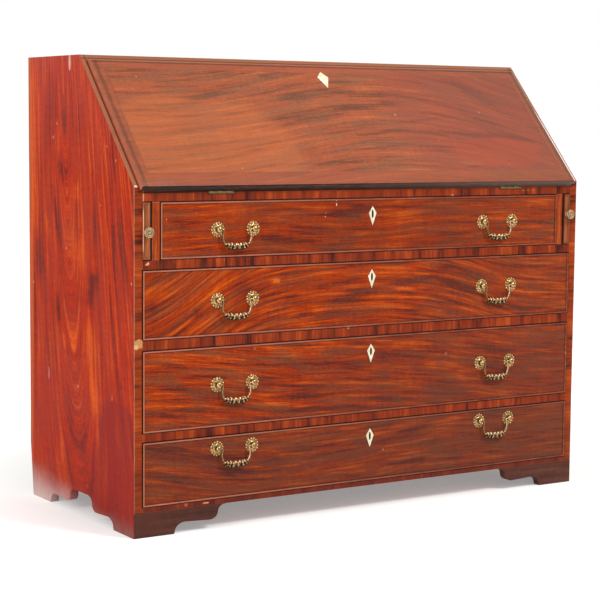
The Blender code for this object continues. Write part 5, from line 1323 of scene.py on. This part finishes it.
# %% [markdown]
# The handles
#
# A rosette is a height over a disc. Going out from the middle it has a collar under the post,
# a ring of petals, a hollow, and a rim of small pearls.
# The pearls are half balls set evenly round the rim, and the petals rise with the cosine of
# the angle. The post is turned, with a round head that holds the bail.

# %% Rosettes and posts
ROSETTE_RADIUS, ROSETTE_LOBES, LOBE_DEPTH, TALLEST = 0.0170, 14, 0.07, 0.0036
PEARL_HEIGHT, PEARL_PLACE, PEARL_RADIUS = 0.0016, 0.875, 0.105
PETAL_HEIGHT, PETAL_PLACE, PETAL_WIDTH, PETALS = 0.0013, 0.60, 0.14, 7
BOWL_FOOT, BOWL_RISE, BOWL_REACH = 0.0007, 0.0016, 0.80
COLLAR_HEIGHT, COLLAR_FALL, COLLAR_REACH = 0.0030, 0.0012, 0.36
POST_PROFILE = ((0.0143, 0.0), (0.0141, 0.0018), (0.0130, 0.0042), (0.0115, 0.0058), (0.0095, 0.0063),
                (0.0072, 0.0060), (0.0055, 0.0050), (0.0044, 0.0041), (0.0036, 0.0045), (0.0028, 0.0068),
                (0.0018, 0.0092), (0.0002, 0.0094), (0.0001, 0.0))


def rosette(x, z, turn):
    """Height over a disc, at most 3.6 mm.

    It is a bowl that falls from 2.3 mm to 0.7 mm, plus petals of 1.3 mm, plus pearls of 1.6 mm,
    and in the middle it is never lower than the round collar of 3 mm.
    """
    share, angle = np.meshgrid(np.linspace(0.03, 1.0, 46), circle(ROSETTE_LOBES * 12), indexing="ij")
    edge = 1 - LOBE_DEPTH * (1 - np.abs(np.cos(ROSETTE_LOBES / 2 * (angle + turn))))
    reach = share * edge
    step = 2 * np.pi / ROSETTE_LOBES
    off = (angle + turn + step / 2) % step - step / 2
    away = np.hypot(reach * np.sin(off), reach * np.cos(off) - PEARL_PLACE)
    pearls = np.sqrt(np.maximum(0, 1 - (away / PEARL_RADIUS) ** 2))
    wave = 0.5 + 0.5 * np.cos(PETALS * (angle + turn))
    petals = wave ** 0.6 * np.exp(-((reach - PETAL_PLACE) / PETAL_WIDTH) ** 2)
    bowl = BOWL_FOOT + BOWL_RISE * np.clip(1 - reach / BOWL_REACH, 0, 1) ** 0.8
    height = np.minimum(bowl + PETAL_HEIGHT * petals + PEARL_HEIGHT * pearls, TALLEST)
    collar = COLLAR_HEIGHT - COLLAR_FALL * (reach / COLLAR_REACH) ** 2
    height = np.where(reach < COLLAR_REACH, np.maximum(height, collar), height)
    radius = reach * ROSETTE_RADIUS
    front = np.stack([x + radius * np.cos(angle), FRONT_FACE - height, z + radius * np.sin(angle)], axis=-1)
    rim = front[-1:].copy()
    rim[..., 1] = FRONT_FACE - BEHIND_MOUNTS
    bright = np.clip(0.42 + pearls * 0.6 + petals * 0.4 - (reach < 0.4) * 0.15, 0, 1)
    relief = np.concatenate([bright, np.full_like(bright[-1:], 0.25)])
    ends = [(x, FRONT_FACE - out, z) for out in (COLLAR_HEIGHT, BEHIND_MOUNTS)]
    return ends[0], np.concatenate([front, rim]), ends[1], relief


for number, height in enumerate(POST_HEIGHTS, start=1):
    sheets = []
    for x, half in zip(POST_PLACES, (-POST_SPACING / 2, POST_SPACING / 2) * 2):
        sheets.append(rosette(x, height, number + 3 * half))
        sheets.append(turned(POST_PROFILE, (x, FRONT_FACE, height), level=0.40))
    mounts = cast_piece(f"drawer_{number}_mounts", sheets, old_brass)
    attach(mounts, f"drawer_{number}")
print("rosettes and posts cast")

# %% [markdown]
# The bails
#
# Each bail is a swan neck: from the posts it steps in, hangs down as a slender S and meets in
# a thick grip, cast with leaves and a row of beads at the middle.
# Its centre line is one curve, mirrored. The radius along it swells to the grip, and waves
# along and round it cut the leaves.

# %% Bails
BAIL_DROP, BAIL_RADIUS, BAIL_OUT = 0.0400, 0.0022, 0.0080
BAIL_PATH = ((1.000, 0.0), (0.850, 0.0), (0.790, -0.02), (0.780, -0.08), (0.785, -0.17), (0.808, -0.27),
             (0.818, -0.37), (0.806, -0.50), (0.772, -0.64), (0.715, -0.755), (0.635, -0.835),
             (0.500, -0.885), (0.320, -0.925), (0.150, -0.945), (0.0, -0.95))
BAIL_SWELL = (0.73, 0.73, 0.86, 0.95, 1.0, 1.0, 1.02, 1.05, 1.10, 1.20, 1.50, 1.95, 2.20, 2.25, 2.30)
BEADED_HALF, LEAFED_HALF, LUMPY_HALF = 0.0085, 0.036, 0.034
BEAD_STEP, LEAF_STEP, LUMP_STEP = 0.0042, 0.0075, 0.0117


def fading(away, end, soft):
    """1 up to a soft way before the end, 0 from the end on."""
    return np.clip((end - away) / soft, 0, 1)


def bail(x, z):
    """A tube along the mirrored path; its radius is the swell times 1 + beads + leaves and ribs + lumps.

    The beads are a row of humps along the middle of the grip. The leaves are waves along it that
    lag round the tube, the ribs are waves round it, and the lumps are waves both ways.
    The grip is also up to 1.4 times as tall as deep.
    """
    right = np.array([(*place, swell) for place, swell in zip(BAIL_PATH, BAIL_SWELL)])
    left = right[:-1][::-1] * (-1, 1, 1)
    knots = np.concatenate([right, left])[::-1] * (POST_SPACING / 2, BAIL_DROP, BAIL_RADIUS)
    curve = smooth_path(knots, 340)
    centre, radius = curve[:, :2], curve[:, 2:]
    forward = np.gradient(centre, axis=0)
    forward /= np.linalg.norm(forward, axis=1)[:, None]
    length = np.concatenate([[0], np.cumsum(np.linalg.norm(np.diff(centre, axis=0), axis=1))])[:, None]
    length -= length[-1] / 2
    away, angle = np.abs(length), circle(32)
    beaded = fading(away, BEADED_HALF, 0.002)
    leafed = (1 - fading(away, BEADED_HALF + 0.002, 0.002)) * fading(away, LEAFED_HALF, 0.006)
    beads = np.abs(np.cos(np.pi * length / BEAD_STEP)) ** 0.7 - 0.65
    leaf = np.cos(2 * np.pi * away / LEAF_STEP - 2.4 * np.abs(np.sin(angle / 2 + 0.4))) / 2 - 0.05
    rib = np.cos(6 * angle) / 2
    lumps = np.cos(2 * np.pi * length / LUMP_STEP + 1.3) * np.cos(2 * angle + 0.6)
    wave = beaded * beads * 0.34 + leafed * (leaf * 0.34 + rib * 0.20)
    wave = wave + 0.17 * lumps * fading(away, LUMPY_HALF, 0.008)
    # Painted shade, with some dirt: the relief is lowered on the outer side of the tube, so the brass there
    # is darker.
    under = np.clip(-np.cos(angle - 0.5), 0, 1) ** 0.7
    relief = np.clip(0.78 - 0.16 * (leafed + beaded) + wave * 1.8 - 0.48 * under, 0, 1)
    reach = radius * (1 + wave)
    tall = reach * (1 + 0.40 * fading(away, LUMPY_HALF, 0.014)) * np.cos(angle)
    places = np.stack([x + centre[:, :1] - forward[:, 1:] * tall,
                       FRONT_FACE - BAIL_OUT + reach * np.sin(angle),
                       z + centre[:, 1:] + forward[:, :1] * tall], axis=-1)
    ends = [(x + centre[end, 0], FRONT_FACE - BAIL_OUT, z + centre[end, 1]) for end in (0, -1)]
    return ends[0], places, ends[1], relief


for number, height in enumerate(POST_HEIGHTS, start=1):
    for side, middle in (("left", -POSTS_FROM_CENTRE), ("right", POSTS_FROM_CENTRE)):
        node = f"drawer_{number}_bail_{side}"
        settle(cast_piece(node + "_cast", [bail(middle, height)], bail_brass), "antique_brass", node)
print("bails cast")

# %% [markdown]
# Knobs, hinges, locks and escutcheons
#
# The loper knobs are turned: a rim, a recess and a button in the middle. The knobs of the small
# drawers inside are the same at a smaller size.
# Hinges, locks and the bone kites keep the solids of the CAD model, with their edges eased.

# %% Small metal and bone
KNOB_RADIUS, KNOB_LENGTH, EASED_EDGE, EVEN_RELIEF = 0.0117, 0.0178, 0.0003, 0.55
KNOB_PROFILE = ((1.0, 0.0), (0.995, 0.10), (0.97, 0.19), (0.90, 0.26), (0.84, 0.34), (0.855, 0.44),
                (0.90, 0.53), (0.885, 0.62), (0.82, 0.73), (0.85, 0.84), (0.85, 0.90), (0.80, 0.97),
                (0.72, 1.0), (0.65, 0.98), (0.56, 0.86), (0.48, 0.55), (0.42, 0.36), (0.30, 0.33),
                (0.17, 0.37), (0.08, 0.50), (0.002, 0.51), (0.0, 0.0))


def knob(node):
    low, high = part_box(node)
    scale = (high[0] - low[0]) / (2 * KNOB_RADIUS)
    profile = np.array(KNOB_PROFILE) * (KNOB_LENGTH, KNOB_RADIUS) * scale
    centre = ((low[0] + high[0]) / 2, high[1], (low[2] + high[2]) / 2)
    sheet = turned(profile, centre, count=110, depth=2600)
    settle(cast_piece(node + "_turned", [sheet], knob_brass), "antique_brass", node)


def ease(node, finish):
    mesh = shell_mesh(closed_shell(node), node + "_eased", [finish])
    store(mesh, "relief", np.full(len(mesh.vertices), EVEN_RELIEF))
    piece = link_piece(node + "_eased", mesh)
    bevel_edges(piece, EASED_EDGE)
    settle(piece, "bone" if finish == bone else "antique_brass", node)


for owner in ("loper_left", "loper_right", "small_drawer_left", "small_drawer_centre", "small_drawer_right"):
    knob(owner + "_knob")
for side in ("left", "right"):
    ease(f"hinge_{side}_bed_leaf", green_brass)
    ease(f"hinge_{side}_fall_leaf", green_brass)
ease("fall_lock", old_brass)
ease("fall_lock_strike", old_brass)
ease("fall_escutcheon", bone)
for number in range(1, 5):
    ease(f"drawer_{number}_lock", old_brass)
    ease(f"drawer_{number}_escutcheon", bone)
print("small metal and bone ready")

# %% View transform
bpy.context.scene.view_settings.view_transform = "Standard"
